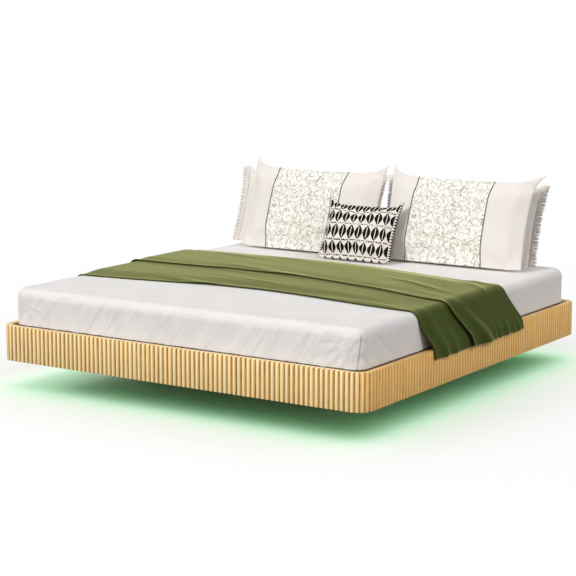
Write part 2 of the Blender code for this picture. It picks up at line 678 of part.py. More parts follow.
def throw_profile():
    """Right half of the throw's line across the bed, from the middle to the hem.

    Each point is (x, z, share): the share is 0 in the middle, 1 at the shoulder and 2 at the hem.
    """
    above_sheet = THROW_SHEET_GAP + THROW_THICKNESS / 2
    radius = MATTRESS_EDGE_RADIUS + SHEET_GAP + SHEET_THICKNESS + above_sheet
    level = SHEET_TOP + above_sheet
    shoulder_x = SHEET_HALF_WIDTH + above_sheet - radius
    shoulder_z = level - radius
    hang_x = HALF_WIDTH + THROW_RAIL_CLEARANCE + THROW_THICKNESS / 2
    rail_z = RAIL_TOP + THROW_RAIL_CLEARANCE
    slope = math.atan2(hang_x - shoulder_x - radius, shoulder_z - rail_z)
    points = []
    for step in range(THROW_FLAT_STEPS):
        points.append((shoulder_x * step / THROW_FLAT_STEPS, level))
    for step in range(THROW_SHOULDER_STEPS + 1):
        angle = math.pi / 2 + (slope - math.pi / 2) * step / THROW_SHOULDER_STEPS
        points.append((shoulder_x + radius * math.cos(angle), shoulder_z + radius * math.sin(angle)))
    start_x, start_z = points[-1]
    for step in range(1, THROW_SLOPE_STEPS + 1):
        share = step / THROW_SLOPE_STEPS
        points.append((start_x + (hang_x - start_x) * share, start_z + (rail_z - start_z) * share))
    hem_z = RAIL_TOP - THROW_HEM_DROP
    for step in range(1, THROW_HANG_STEPS + 1):
        share = step / THROW_HANG_STEPS
        points.append((hang_x, rail_z + (hem_z - rail_z) * share))
    lengths = [0.0]
    for first, second in zip(points[THROW_FLAT_STEPS:], points[THROW_FLAT_STEPS + 1:]):
        lengths.append(lengths[-1] + math.dist(first, second))
    shares = [step / THROW_FLAT_STEPS for step in range(THROW_FLAT_STEPS)]
    shares += [1 + length / lengths[-1] for length in lengths]
    return [(x, z, share) for (x, z), share in zip(points, shares)]


def smooth_value(values, share):
    """A smooth line through five values, which stand at the shares -2, -1, 0, 1 and 2."""
    index = min(int(share + 2), len(values) - 2)
    part = share + 2 - index
    before = values[max(index - 1, 0)]
    start = values[index]
    end = values[index + 1]
    after = values[min(index + 2, len(values) - 1)]
    bend = (2 * before - 5 * start + 4 * end - after) * part ** 2
    bend += (3 * start - before - 3 * end + after) * part ** 3
    return start + ((end - before) * part + bend) / 2


def throw_rows():
    """The throw's line from its near edge out to the far fold and back to the upper layer's edge.

    Each row is (share of the way, reach past the fold line, rise). A share from 0 to 1 lies on the lower
    layer, and from 1 to 2 on the upper one.
    """
    rise = THROW_THICKNESS + THROW_LAYER_GAP
    rows = [(step / THROW_LOWER_STEPS, 0.0, 0.0) for step in range(THROW_LOWER_STEPS + 1)]
    for step in range(1, THROW_TURN_STEPS):
        angle = math.pi * step / THROW_TURN_STEPS
        rows.append((1.0, rise / 2 * math.sin(angle), rise / 2 * (1 - math.cos(angle))))
    rows += [(1 + step / THROW_UPPER_STEPS, 0.0, rise) for step in range(THROW_UPPER_STEPS + 1)]
    return rows


def make_throw():
    """A cloth laid across the bed, doubled over at its far edge, with soft folds where it hangs."""
    half = throw_profile()
    line = [(-x, z, -share) for x, z, share in half[:0:-1]] + half
    rows = throw_rows()
    bm = bmesh.new()
    bmesh.ops.create_grid(bm, x_segments=len(line) - 1, y_segments=len(rows) - 1, size=1)
    for vertex in bm.verts:
        column = round((vertex.co.x + 1) / 2 * (len(line) - 1))
        row = round((vertex.co.y + 1) / 2 * (len(rows) - 1))
        x, z, share = line[column]
        before = line[max(column - 1, 0)]
        after = line[min(column + 1, len(line) - 1)]
        normal = Vector((before[1] - after[1], after[0] - before[0])).normalized()
        way, beyond, rise = rows[row]
        near = smooth_value(THROW_NEAR_SHARES, share) * THROW_WIDTH
        layer = smooth_value(THROW_LAYER_SHARES, share) * THROW_WIDTH
        far = smooth_value(THROW_FAR_SHARES, share) * THROW_WIDTH
        if way <= 1:
            y = near + (far - near) * way + beyond
        else:
            y = far + (layer - far) * (way - 1)
        hang = max(0.0, abs(share) - 1)
        fold = THROW_FOLD_DEPTH * hang * (1 + math.cos(2 * math.pi * y / THROW_FOLD_PITCH)) / 2
        out = rise + fold
        vertex.co = (x + normal.x * out, y, z + normal.y * out)
    mesh = bpy.data.meshes.new("throw")
    bm.to_mesh(mesh)
    bm.free()
    throw = add_part("throw", mesh, VELVET)
    cloth = throw.modifiers.new("cloth", "SOLIDIFY")
    cloth.thickness = THROW_THICKNESS
    cloth.offset = 0


def make_cushion(name, size, cells, lean, place, finish):
    """A knife-edge cushion that stands on its lower edge and leans back.

    size is its width, height and thickness, and place is the middle of its lower edge. It is thickest in
    the middle, its edges draw in between the corners, and it settles flat where it rests on the sheet.
    """
    width, height, thickness = size
    up = Vector((0, math.sin(lean), math.cos(lean)))
    front = Vector((0, -math.cos(lean), math.sin(lean)))
    bm = bmesh.new()
    bmesh.ops.create_grid(bm, x_segments=cells[0], y_segments=cells[1], size=1)
    made = bmesh.ops.extrude_face_region(bm, geom=bm.faces[:])["geom"]
    fronts = {item for item in made if isinstance(item, bmesh.types.BMVert)}
    for vertex in bm.verts:
        u = math.sin(vertex.co.x * math.pi / 2)
        v = math.sin(vertex.co.y * math.pi / 2)
        settled = v if v > 0 else v * CUSHION_SLUMP_SHARE
        fill = (max(0.0, 1 - u ** 2) * max(0.0, 1 - settled ** 2)) ** CUSHION_FILL_POWER
        through = (CUSHION_SEAM + (thickness - CUSHION_SEAM) * fill) / 2
        draw_in = CUSHION_DRAW_IN if v > 0 else CUSHION_DRAW_IN * CUSHION_FOOT_DRAW_SHARE
        across = u * (width / 2 - CUSHION_SIDE_DRAW_IN * (1 - v ** 2))
        along = v * (height / 2 - draw_in * (1 - u ** 4))
        side = 1 if vertex in fronts else -1
        point = up * (along + height / 2) + front * (through * side)
        vertex.co = (across, point.y, max(0.0, point.z - CUSHION_SINK))
    mesh = mesh_from(bm, name)
    mesh.shade_smooth()
    return add_part(name, mesh, finish, place)


def make_bedding():
    """Two pairs of shams that lean back one behind the other, and the accent cushion before them."""
    rest = SHEET_TOP + SEAT_GAP
    front_y = MATTRESS_LENGTH / 2 - FRONT_SHAM_FOOT_FROM_HEAD
    apart = (SHAM_THICKNESS + REAR_SHAM_THICKNESS) / 2 + CUSHION_GAP
    rear_y = front_y + apart / math.cos(SHAM_LEAN)
    before = (SHAM_THICKNESS / 2 / math.cos(SHAM_LEAN)) + ACCENT_THICKNESS / 2 / math.cos(ACCENT_LEAN)
    reach = ACCENT_HEIGHT / 2 * (math.sin(ACCENT_LEAN) - math.cos(ACCENT_LEAN) * math.tan(SHAM_LEAN))
    accent_y = front_y - before - reach - CUSHION_GAP
    sham_cells = (SHAM_COLUMNS, SHAM_ROWS)
    for side, sign in SIDES.items():
        x = (SHAM_WIDTH + SHAM_PAIR_GAP) / 2 * sign + FRONT_SHAM_SHIFT
        size = (SHAM_WIDTH, SHAM_HEIGHT, SHAM_THICKNESS)
        make_cushion(f"front_sham_{side}", size, sham_cells, SHAM_LEAN, (x, front_y, rest), SHAM_LINEN)
        x = (REAR_SHAM_WIDTH + REAR_SHAM_PAIR_GAP) / 2 * sign + REAR_SHAM_SHIFT
        size = (REAR_SHAM_WIDTH, REAR_SHAM_HEIGHT, REAR_SHAM_THICKNESS)
        make_cushion(f"rear_sham_{side}", size, sham_cells, SHAM_LEAN, (x, rear_y, rest), SHAM_LINEN)
    size = (ACCENT_WIDTH, ACCENT_HEIGHT, ACCENT_THICKNESS)
    cells = (ACCENT_COLUMNS, SHAM_ROWS)
    make_cushion("accent_cushion", size, cells, ACCENT_LEAN, (ACCENT_SHIFT, accent_y, rest), ACCENT_WEAVE)


def make_controller():
    at = controller_places()
    make_controller_base(at)
    make_controller_board(at)
    make_controller_cover(at)
    make_power_inlet(at)
    make_buttons(at)


def make_bed():
    make_rails()
    make_corner_posts()
    make_ledgers()
    make_bearers()
    make_joists()
    make_slats()
    make_plinth()
    make_blocks_and_feet()
    make_light_strips()
    make_controller()
    make_mattress_and_sheet()
    make_throw()
    make_bedding()


make_bed()
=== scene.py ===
"""The looks of a floating bed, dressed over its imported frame: reeded timber, light strips and the bedding.

Lengths are in metres in the frame's own axes. +X is the right-hand side seen from the foot, +Y is towards
the head, +Z is up, and the origin is on the floor under the middle of the bed.
"""

import math
from functools import partialmethod

import bmesh
import bpy
import numpy as np
from mathutils import Matrix, Vector


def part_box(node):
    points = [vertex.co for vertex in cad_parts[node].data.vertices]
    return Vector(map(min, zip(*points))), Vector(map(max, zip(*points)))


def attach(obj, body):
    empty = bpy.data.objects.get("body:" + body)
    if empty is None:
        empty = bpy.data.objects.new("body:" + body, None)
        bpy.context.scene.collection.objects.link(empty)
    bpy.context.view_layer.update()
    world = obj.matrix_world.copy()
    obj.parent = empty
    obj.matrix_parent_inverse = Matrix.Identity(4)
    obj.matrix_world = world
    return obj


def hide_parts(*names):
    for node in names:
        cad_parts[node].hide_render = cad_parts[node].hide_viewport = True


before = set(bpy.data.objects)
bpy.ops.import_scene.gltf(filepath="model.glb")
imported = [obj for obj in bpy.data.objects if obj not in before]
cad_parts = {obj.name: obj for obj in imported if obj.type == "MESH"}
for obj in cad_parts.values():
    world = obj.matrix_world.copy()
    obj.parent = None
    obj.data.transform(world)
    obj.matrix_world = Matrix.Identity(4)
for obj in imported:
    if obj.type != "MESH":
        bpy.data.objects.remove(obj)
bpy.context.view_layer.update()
SHEET_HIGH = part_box("fitted_sheet")[1]
RAIL_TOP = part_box("rail_right")[1].z

SIDES = {"left": -1, "right": 1}
ENDS = {"front": -1, "rear": 1}

# Clearance that a finer piece keeps to its neighbours
CLEAR = 0.0003

# Camera, fitted to the edges of the frame in the photograph
CAMERA_AZIMUTH = math.radians(33.34)
CAMERA_ELEVATION = math.radians(9.612)
CAMERA_PLACE = (4.6652, -7.1919, 1.8720)
CAMERA_LENS = 109.77
CAMERA_SENSOR = 36.0

# Timber frame, reeded outside
HALF_X = 1.015
HALF_Y = 1.065
CORNER_RADIUS = 0.076
RAIL_THICKNESS = 0.03
STRAIGHT_X = HALF_X - CORNER_RADIUS - CLEAR
STRAIGHT_Y = HALF_Y - CORNER_RADIUS - CLEAR
REED_PITCH = 0.025
REED_DEPTH = 0.008
REED_STEPS = 12
EASED_EDGE = 0.0012

# Mattress
MATTRESS_CORNER_RADIUS = 0.055
MATTRESS_EDGE_RADIUS = 0.04
BLOCK_CROWDING_SHARE = 0.85
QUILT_PITCH = 0.16
QUILT_DEPTH = 0.003

# Fitted sheet
SHEET_THICKNESS = 0.002
SHEET_GAP = 0.0004
FOOT_CREASE = 0.0022
FOOT_CREASE_FADES = (0.25, 0.62)
SIDE_CREASE = 0.0030
FLANK_CREASE_SHARE = 0.35
SEAM_TOP_DROP = 0.05
SEAM_TILT = 0.12
SEAM_START = 0.05
SEAM_HALF_WIDTH = 0.0012
PLEAT_DEPTH = 0.006
STREAK_SLANT = 0.7
# How unevenly the painted shade line just below the rail top rises
RAIL_SHADE_RISE = 0.003
# Folds that fan out from the top of a corner seam: the slant below level, the width in radians, the height
FAN_FOLDS = ((0.3, 0.09, 0.002), (0.62, 0.09, 0.003), (0.95, 0.09, 0.003))
FAN_FLANK_SHARE = 0.08

# Throw
THROW_WIDTH = 0.93
THROW_DOUBLED_SHARE = 0.55
THROW_THICKNESS = 0.004
THROW_LAYER_GAP = 0.001
THROW_GAP = 0.0008 + THROW_THICKNESS / 2
THROW_RAIL_CLEARANCE = 0.003
THROW_HEM_DROP = 0.043
THROW_STEP = 0.008
THROW_TOP_STEP = 0.02
# Where its near edge, the edge of its doubled layer and its far edge run, from hem to hem
THROW_NEAR_SHARES = (-0.54, -0.59, -0.46, -0.58, -0.50)
THROW_LAYER_SHARES = (-0.06, -0.12, -0.09, -0.28, -0.13)
THROW_FAR_SHARES = (0.44, 0.47, 0.50, 0.33, 0.45)
THROW_CREASE = 0.0022
THROW_PUFF = 0.012
THROW_UPPER_PUFF = 0.005
THROW_EDGE_LIFT = 0.004
THROW_LAYER_LIFT = 0.007
# Creases pulled across the top beside the right-hand shoulder: x and y at each end, width and height
THROW_PULLS = (
    (0.6, 0.41, 0.98, 0.24, 0.014, 0.0035),
    (0.74, 0.3, 1.02, 0.08, 0.018, 0.004),
    (0.82, 0.39, 1.0, 0.33, 0.01, 0.003),
    (0.4, 0.12, 0.9, -0.06, 0.022, 0.004),
)
# Folds of the hanging sides: side, whether only the doubled layer has it, y at the shoulder and at the hem,
# width there, height there, and the share of the way down at which it begins to grow
THROW_FOLDS = (
    (1, False, -0.47, -0.36, 0.05, 0.03, 0.002, 0.009, 0.1),
    (1, False, -0.36, -0.26, 0.03, 0.02, 0.0, 0.006, 0.3),
    (-1, False, -0.42, -0.38, 0.05, 0.04, 0.0, 0.009, 0.1),
    (-1, False, -0.25, -0.2, 0.04, 0.03, 0.0, 0.007, 0.2),
    (1, True, -0.2, 0.04, 0.035, 0.05, 0.002, 0.02, 0.0),
    (1, True, 0.02, 0.12, 0.016, 0.012, 0.0, 0.004, 0.5),
    (1, True, 0.08, 0.17, 0.016, 0.009, 0.0, 0.005, 0.6),
    (1, True, 0.13, 0.25, 0.016, 0.014, 0.0, 0.006, 0.45),
    (1, True, 0.22, 0.32, 0.016, 0.01, 0.0, 0.004, 0.62),
    (1, True, 0.24, 0.37, 0.016, 0.012, 0.0, 0.005, 0.5),
    (-1, True, 0.0, 0.02, 0.04, 0.05, 0.0, 0.012, 0.1),
    (-1, True, 0.16, 0.14, 0.03, 0.03, 0.0, 0.008, 0.3),
    (-1, True, 0.3, 0.29, 0.03, 0.04, 0.0, 0.01, 0.2),
)

# Cushions: height, thickness, how far from the bed's middle the lower edge stands, lean in degrees, and fill
ACCENT_HEIGHT = 0.35
FRONT_SHAM = (0.498, 0.125, 0.72, 18.0, 0.7)
REAR_SHAM = (0.445, 0.105, 0.842, 18.0, 0.65)
ACCENT = (ACCENT_HEIGHT, 0.11, 0.574, 24.0, 0.8)
PANEL_EDGES = (-0.25, 0.19)
CUSHION_CELL = 0.010
CUSHION_CROWDING_SHARE = 0.8
CUSHION_FILL_POWER = 0.45
CUSHION_SLUMP_SHARE = 0.9
CUSHION_DRAW_IN = 0.04
CUSHION_SIDE_DRAW_IN = 0.018
CUSHION_FOOT_DRAW_SHARE = 0.2
CUSHION_CORNER_CURL = 0.016
SHAM_TIP = 0.016
SHAM_EAR = 0.05
CUSHION_SINK = 0.003
# How a cover is blown up: from how much of its thickness, how long, how far at most, and its cloth
CUSHION_START_SHARE = 0.72
CUSHION_FRAMES = 20
CUSHION_CAP = 0.024
CUSHION_CLOTH = {
    "quality": 6, "mass": 0.25, "tension_stiffness": 20, "compression_stiffness": 20, "shear_stiffness": 8,
    "bending_stiffness": 0.4, "use_pressure": True, "uniform_pressure_force": 4.0,
    "vertex_group_shrink": "seam", "shrink_min": -0.01, "shrink_max": 0.06,
}
PIPING_RADIUS = 0.0028
PIPING_SIDES = 10
FRINGE_PITCH = 0.0022
FRINGE_CLUMP = 8
FRINGE_LENGTH = 0.042
INNER_FRINGE_SHARE = 0.6
FRINGE_RADIUS = 0.0020
FRINGE_STEPS = 5

# Light, as shares of what makes level white paper white: soft lamps by direction, share and width in degrees
LAMPS = {
    "key": ((-0.30, -0.84, 0.45), 0.61, 20.0),
    "left": ((-0.88, -0.25, 0.40), 0.11, 20.0),
    "right": ((0.77, -0.10, 0.63), 0.37, 30.0),
    "overhead": ((0.0, 0.0, 1.0), 0.535, 125.0),
}
FILL_SHARE = 0.46
FLOOR_BOUNCE = 0.15
FLOOR_HALF = 30.0
WHITE = (1.0, 1.0, 1.0)
# The strips' light on the floor: how high and bright, and by edge its width, how far in from the outside it
# lies, its strength and its colour
GLOW_STRENGTH = 2.0
GLOW_SHARE = 0.27
GLOW_HEIGHT = 0.126
GLOW_COLOUR = (0.08, 1.0, 0.24)
GLOW_PALE = (0.70, 1.0, 0.76)
GLOW_BANDS = {
    "front": (0.20, -0.04, 1.0, GLOW_COLOUR),
    "rear": (0.20, 0.0, 1.0, GLOW_COLOUR),
    "left": (0.36, 0.10, 1.9, GLOW_PALE),
    "right": (0.20, -0.02, 1.0, GLOW_COLOUR),
}


def ink(code):
    """The linear colour of a screen colour, written as six hexadecimal digits."""
    shares = [int(code[start:start + 2], 16) / 255 for start in (0, 2, 4)]
    return tuple(s / 12.92 if s <= 0.04045 else ((s + 0.055) / 1.055) ** 2.4 for s in shares)


OAK = ink("F1C26C")
OAK_LIGHT = ink("FDD98B")
OAK_DARK = ink("D19A4C")
# Painted highlight of the reed crests
OAK_PAINTED_HIGHLIGHT = ink("FFEEC0")
OAK_PORE = ink("A87A44")
# Painted warmer shade of the side rails
OAK_SIDE_SHADE = ink("F8BA56")
# Painted shade of the reed grooves
OAK_GROOVE_SHADE = ink("83552A")
PINE = ink("DEC08F")
PINE_LIGHT = ink("E9D2A8")
PINE_DARK = ink("C39A63")
PINE_KNOT = ink("6E4526")
SHEET_COLOUR = ink("E4E1DF")
SHEET_SHADE = ink("DEDBD9")
SHEET_SEAM = ink("8F8479")
# Painted shade just below the rail top
SHEET_RAIL_SHADE = ink("63503F")
VELVET = ink("4C5722")
VELVET_DARK = ink("3A4518")
VELVET_LIGHT = ink("5B672D")
LINEN = ink("E8E2DC")
LINEN_SHADE = ink("DED7D0")
PANEL_GROUND = ink("F4F0EA")
SAGE = ink("A7A591")
SAGE_DARK = ink("898772")
SAGE_PALE = ink("CBCBBB")
CORD = ink("55574E")
YARN = ink("EEE7DE")
WOOL_BLACK = ink("0E0B09")
WOOL_CREAM = ink("F0E8DF")
WOOL_GREY = ink("2A2420")
WOOL_BROWN = ink("5E4F43")

# Leaves of the print: cell, shift, half length, half width and colour; and its stems: scale, width and colour
LEAVES = (
    (0.05, (0.4, 0.3, 0.0), 0.024, 0.008, SAGE_PALE),
    (0.03, (0.1, 0.7, 0.0), 0.016, 0.0036, SAGE),
    (0.026, (0.9, 0.2, 0.0), 0.013, 0.0032, SAGE_PALE),
    (0.036, (0.5, 0.5, 0.0), 0.018, 0.0032, SAGE_DARK),
)
STEMS = ((8.0, 0.007, SAGE), (15.0, 0.010, SAGE_PALE))

# Tapestry of the small cushion
WOOL_THREAD = 0.0022
OVAL_PITCH = 0.048
OVAL_HALF_WIDTH = 0.0225
OVAL_HALF_HEIGHT = 0.0385
OVAL_SLIT = 0.0023
ROW_PITCH = 0.089
FIRST_LINE = 0.067
DASH_HALF_HEIGHT = 0.0038
DASH_GAP = 0.003
TRIM_START = 0.214
TRIM_PITCH = 0.016
TRIM_DEPTH = 0.016

# Hidden hardware
THREAD_PITCH = 0.0015
PAD_TOP = 0.008


# Meshes

def grid_faces(rows, width, wrap=False):
    """Corner numbers of the quads of a grid of points; wrap joins each row's end to its start."""
    row, place = np.meshgrid(np.arange(rows - 1), np.arange(width if wrap else width - 1), indexing="ij")
    here = row * width + place
    along = row * width + (place + 1) % width
    return np.stack([here, along, along + width, here + width], axis=-1).reshape(-1, 4)


def tube_faces(rings, width, first=0):
    """Faces of a tube with closed ends, its points numbered from first."""
    last = first + (rings - 1) * width
    ends = [list(range(start, start + width)) for start in (first, last)]
    return (grid_faces(rings, width, wrap=True) + first).tolist() + ends


def mesh_object(name, points, faces):
    """A smooth-shaded object from points and faces."""
    mesh = bpy.data.meshes.new(name)
    mesh.from_pydata(np.asarray(points, float).reshape(-1, 3).tolist(), [], [list(f) for f in faces])
    mesh.update()
    mesh.shade_smooth()
    piece = bpy.data.objects.new(name, mesh)
    bpy.context.scene.collection.objects.link(piece)
    return piece


def solid(name, points, faces):
    """A closed object, its faces turned to point out."""
    piece = mesh_object(name, points, faces)
    bm = bmesh.new()
    bm.from_mesh(piece.data)
    bmesh.ops.recalc_face_normals(bm, faces=bm.faces[:])
    bm.to_mesh(piece.data)
    bm.free()
    return piece


def set_values(piece, name, values):
    """Keep a number or a vector for each point of the piece, for its material to read."""
    values = np.asarray(values, np.float32)
    vectors = values.ndim > 1
    attribute = piece.data.attributes.new(name, "FLOAT_VECTOR" if vectors else "FLOAT", "POINT")
    attribute.data.foreach_set("vector" if vectors else "value", values.ravel())


def thicken(piece, thickness, offset):
    """Give a cloth its thickness: offset -1 is inwards, 0 to both sides."""
    solidify = piece.modifiers.new("thickness", "SOLIDIFY")
    solidify.thickness = thickness
    solidify.offset = offset


def replace(piece, node, finish):
    """Put a dressed piece on the bed in place of its CAD node."""
    piece.data.materials.append(finish.material)
    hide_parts(node)
    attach(piece, "bed")


def sew_on(piece, sham, finish):
    """Fix a trimming to its sham."""
    piece.data.materials.append(finish.material)
    piece.parent = sham


def columns(*parts):
    """Rows of numbers from their columns, arrays or single numbers."""
    return np.stack(np.broadcast_arrays(*parts), axis=-1)


def swells(x, y, seed, count, shortest, longest, heading, spread):
    """A smooth uneven field of about unit height: waves of random length and phase round one heading."""
    random = np.random.default_rng(seed)
    total = np.zeros(np.broadcast(x, y).shape)
    for _ in range(count):
        length = shortest * (longest / shortest) ** random.random()
        angle = heading + spread * (random.random() * 2 - 1)
        phase = random.random() * 2 * math.pi
        total += np.sin((x * math.cos(angle) + y * math.sin(angle)) * 2 * math.pi / length + phase)
    return total / math.sqrt(count / 2)


def smooth_step(value, low, high):
    share = np.clip((value - low) / (high - low), 0, 1)
    return share * share * (3 - 2 * share)


def bell(value, middle, width):
    """1 at the middle, falling away to either side."""
    return np.exp(-(((value - middle) / width) ** 2))


def crowded(cells, share):
    """Places from -1 to 1, closer together towards both ends."""
    line = np.sin(np.linspace(-1, 1, cells + 1) * math.pi / 2 * share)
    return line / line[-1]


def evenly(points, step):
    """Points along a line at about even steps, with the distance of each from its start."""
    points = np.asarray(points, float)
    lengths = np.concatenate([[0], np.cumsum(np.linalg.norm(np.diff(points, axis=0), axis=1))])
    places = np.linspace(0, lengths[-1], round(lengths[-1] / step) + 1)
    return columns(*(np.interp(places, lengths, column) for column in points.T)), places


# Materials

class Wire:
    """A node's output. Arithmetic with it, like its methods, adds the nodes that work out the result."""

    def __init__(self, nodes, socket):
        self.nodes = nodes
        self.socket = socket

    def maths(self, operation, *others, clamp=False):
        inputs = dict(enumerate((self, *others)))
        return self.nodes.add("Math", inputs, operation=operation, use_clamp=clamp)["Value"]

    def __rsub__(self, other):
        return self.nodes.add("Math", {0: other, 1: self}, operation="SUBTRACT")["Value"]

    __add__ = partialmethod(maths, "ADD")
    __sub__ = partialmethod(maths, "SUBTRACT")
    __mul__ = partialmethod(maths, "MULTIPLY")
    __truediv__ = partialmethod(maths, "DIVIDE")
    __pow__ = partialmethod(maths, "POWER")
    __abs__ = partialmethod(maths, "ABSOLUTE")
    __lt__ = partialmethod(maths, "LESS_THAN")
    __gt__ = partialmethod(maths, "GREATER_THAN")

    def off_middle(self, pitch):
        """How far this lies from the middle of its cell, as a share of the pitch."""
        return abs((self / pitch).maths("FRACT") - 0.5)

    def between(self, low, high, new_low=0.0, new_high=1.0, smooth=False):
        """This, mapped from one range to another and kept inside it."""
        return self.nodes.add("MapRange", {
            "Value": self, "From Min": low, "From Max": high, "To Min": new_low, "To Max": new_high,
        }, interpolation_type="SMOOTHSTEP" if smooth else "LINEAR")["Result"]

    def mix(self, first, second):
        """A colour: the first where this is 0, the second where it is 1."""
        node = self.nodes.tree.nodes.new("ShaderNodeMix")
        node.data_type = "RGBA"
        places = [place for place, socket in enumerate(node.inputs) if socket.type == "RGBA"]
        self.nodes.fill(node, {0: self, places[0]: first, places[1]: second})
        return Wire(self.nodes, next(socket for socket in node.outputs if socket.type == "RGBA"))

    def ramp(self, *stops):
        """A colour by this value: each stop is a value and its colour."""
        node = self.nodes.tree.nodes.new("ShaderNodeValToRGB")
        points = node.color_ramp.elements
        while len(points) < len(stops):
            points.new(1.0)
        for point, (position, colour) in zip(points, stops):
            point.position = position
            point.color = (*colour, 1.0)
        return self.nodes.fill(node, {"Fac": self})["Color"]

    def bump(self, strength, distance, below=None):
        """A normal from this height; below is the normal of a coarser bump."""
        inputs = {"Height": self, "Strength": strength, "Distance": distance}
        if below is not None:
            inputs["Normal"] = below
        return self.nodes.add("Bump", inputs)["Normal"]

    def mapped(self, scale, offset=(0, 0, 0)):
        return self.nodes.add("Mapping", {"Vector": self, "Scale": scale, "Location": offset})["Vector"]

    def moved(self, operation, other):
        return self.nodes.add("VectorMath", {0: self, 1: other}, operation=operation)["Vector"]

    def split(self):
        return list(self.nodes.add("SeparateXYZ", {"Vector": self}).values())

    def noise(self, scale, detail=2.0, roughness=0.5, distortion=0.0):
        return self.nodes.add("TexNoise", {
            "Vector": self, "Scale": scale, "Detail": detail, "Roughness": roughness, "Distortion": distortion,
        })["Fac"]

    def weave(self, thread):
        """Height of a plain weave of threads this far apart."""
        x, y, _ = self.mapped((2 * math.pi / thread,) * 3).split()
        return x.maths("SINE") * y.maths("SINE")


class Nodes:
    """Short ways to add nodes to a tree."""

    def __init__(self, tree):
        self.tree = tree

    def fill(self, node, inputs):
        """Set a node's inputs, by name or number, to wires, numbers, vectors or colours; give its outputs."""
        for key, value in inputs.items():
            socket = node.inputs[key]
            if isinstance(value, Wire):
                self.tree.links.new(value.socket, socket)
            else:
                socket.default_value = (*value, 1.0) if socket.type == "RGBA" else value
        return {socket.name: Wire(self, socket) for socket in node.outputs}

    def add(self, kind, inputs=None, **settings):
        node = self.tree.nodes.new("ShaderNode" + kind)
        for key, value in settings.items():
            setattr(node, key, value)
        return self.fill(node, inputs or {})

    def vector(self, x, y, z=0.0):
        return self.add("CombineXYZ", {"X": x, "Y": y, "Z": z})["Vector"]

    def seen(self):
        """1 for the camera's own view, mirrored or through something too, and 0 for light that bounces."""
        path = self.add("LightPath")
        camera, glossy, passed = (path[f"Is {kind} Ray"] for kind in ("Camera", "Glossy", "Transmission"))
        return camera.maths("MAXIMUM", glossy).maths("MAXIMUM", passed)


class Finish(Nodes):
    """A material: nodes that feed its Principled shader."""

    def __init__(self, name, roughness, metallic=0.0):
        self.material = bpy.data.materials.new(name)
        self.material.use_nodes = True
        super().__init__(self.material.node_tree)
        self.shader = self.tree.nodes["Principled BSDF"]
        self.fill(self.shader, {"Roughness": roughness, "Metallic": metallic})

    def look(self, colour, normal, **others):
        self.fill(self.shader, {"Base Color": colour, "Normal": normal, **others})
        return self

    def kept(self, name, output="Fac"):
        """What set_values kept for each point."""
        return self.add("Attribute", attribute_name=name)[output]

    def place(self, scale=(1, 1, 1)):
        """Place in the piece's own coordinates, scaled."""
        return self.add("TexCoord")["Object"].mapped(scale)

    def flat(self, scale=(1, 1, 1), offset=(0, 0, 0)):
        """Place on the flat cloth, scaled and moved."""
        return self.kept("flat", "Vector").mapped(scale, offset)


# Timber

def reeded_oak():
    """Straight-grained honey oak, each reed unlike the next, with a painted highlight on the crests, painted shade
    in the grooves, and painted warmer shade on the side rails.
    """
    finish = Finish("reeded_oak", 0.4)
    tone, depth, side_shade = (finish.kept(name) for name in ("reed_tone", "groove", "side_shade"))
    grain = finish.place((1, 1, 0.045)).moved("ADD", finish.vector(0.0, 0.0, tone * 40.0))
    fibre = grain.noise(430, 3, 0.65)
    wood = grain.noise(60, 5, 0.6, 0.5).ramp((0.30, OAK_DARK), (0.52, OAK), (0.72, OAK_LIGHT))
    wood = fibre.between(0.40, 0.62, 0.35, 0.0).mix(wood, OAK_PORE)
    wood = tone.between(0.5, 0.0, 0.0, 0.3).mix(wood, OAK_DARK)
    wood = tone.between(0.5, 1.0, 0.0, 0.3).mix(wood, OAK_LIGHT)
    # Painted shade: the side rails, and the corners towards them, are mixed towards a warmer, deeper colour
    wood = (side_shade * 0.6).mix(wood, OAK_SIDE_SHADE)
    # Painted highlight: the crests are mixed towards a pale colour, less so on the side rails
    crest = depth.between(0.02, 0.14, 0.9, 0.0) * side_shade.between(0.0, 1.0, 1.0, 0.25)
    wood = crest.mix(wood, OAK_PAINTED_HIGHLIGHT)
    # Painted shade: the grooves are darkened, more in some patches than in others
    patchy = finish.place().noise(26, 3, 0.6).between(0.35, 0.65, 0.45, 1.15)
    wood = (depth.between(0.16, 0.9, 0.0, 0.9) * patchy).mix(wood, OAK_GROOVE_SHADE)
    return finish.look(wood, fibre.bump(0.25, 0.0006), Roughness=fibre.between(0.3, 0.7, 0.46, 0.30))


def sawn_pine(axis):
    """Planed softwood with its grain along one axis: soft bands, fine fibre and a few knots."""
    finish = Finish(f"pine_along_{axis}", 0.6)
    grain, stretched = (
        finish.place([share if name == axis else 1 for name in "xyz"]) for share in (0.05, 0.5)
    )
    fibre = grain.noise(380, 2, 0.6)
    wood = grain.noise(42, 4, 0.55, 0.8).ramp((0.32, PINE_DARK), (0.5, PINE), (0.66, PINE_LIGHT))
    wood = fibre.between(0.42, 0.60, 0.25, 0.0).mix(wood, PINE_DARK)
    knots = finish.add("TexVoronoi", {"Vector": stretched, "Scale": 5.5, "Randomness": 1.0})["Distance"]
    wood = knots.between(0.05, 0.12, 0.85, 0.0, smooth=True).mix(wood, PINE_KNOT)
    return finish.look(wood, fibre.bump(0.3, 0.0008), Roughness=fibre.between(0.3, 0.7, 0.7, 0.5))


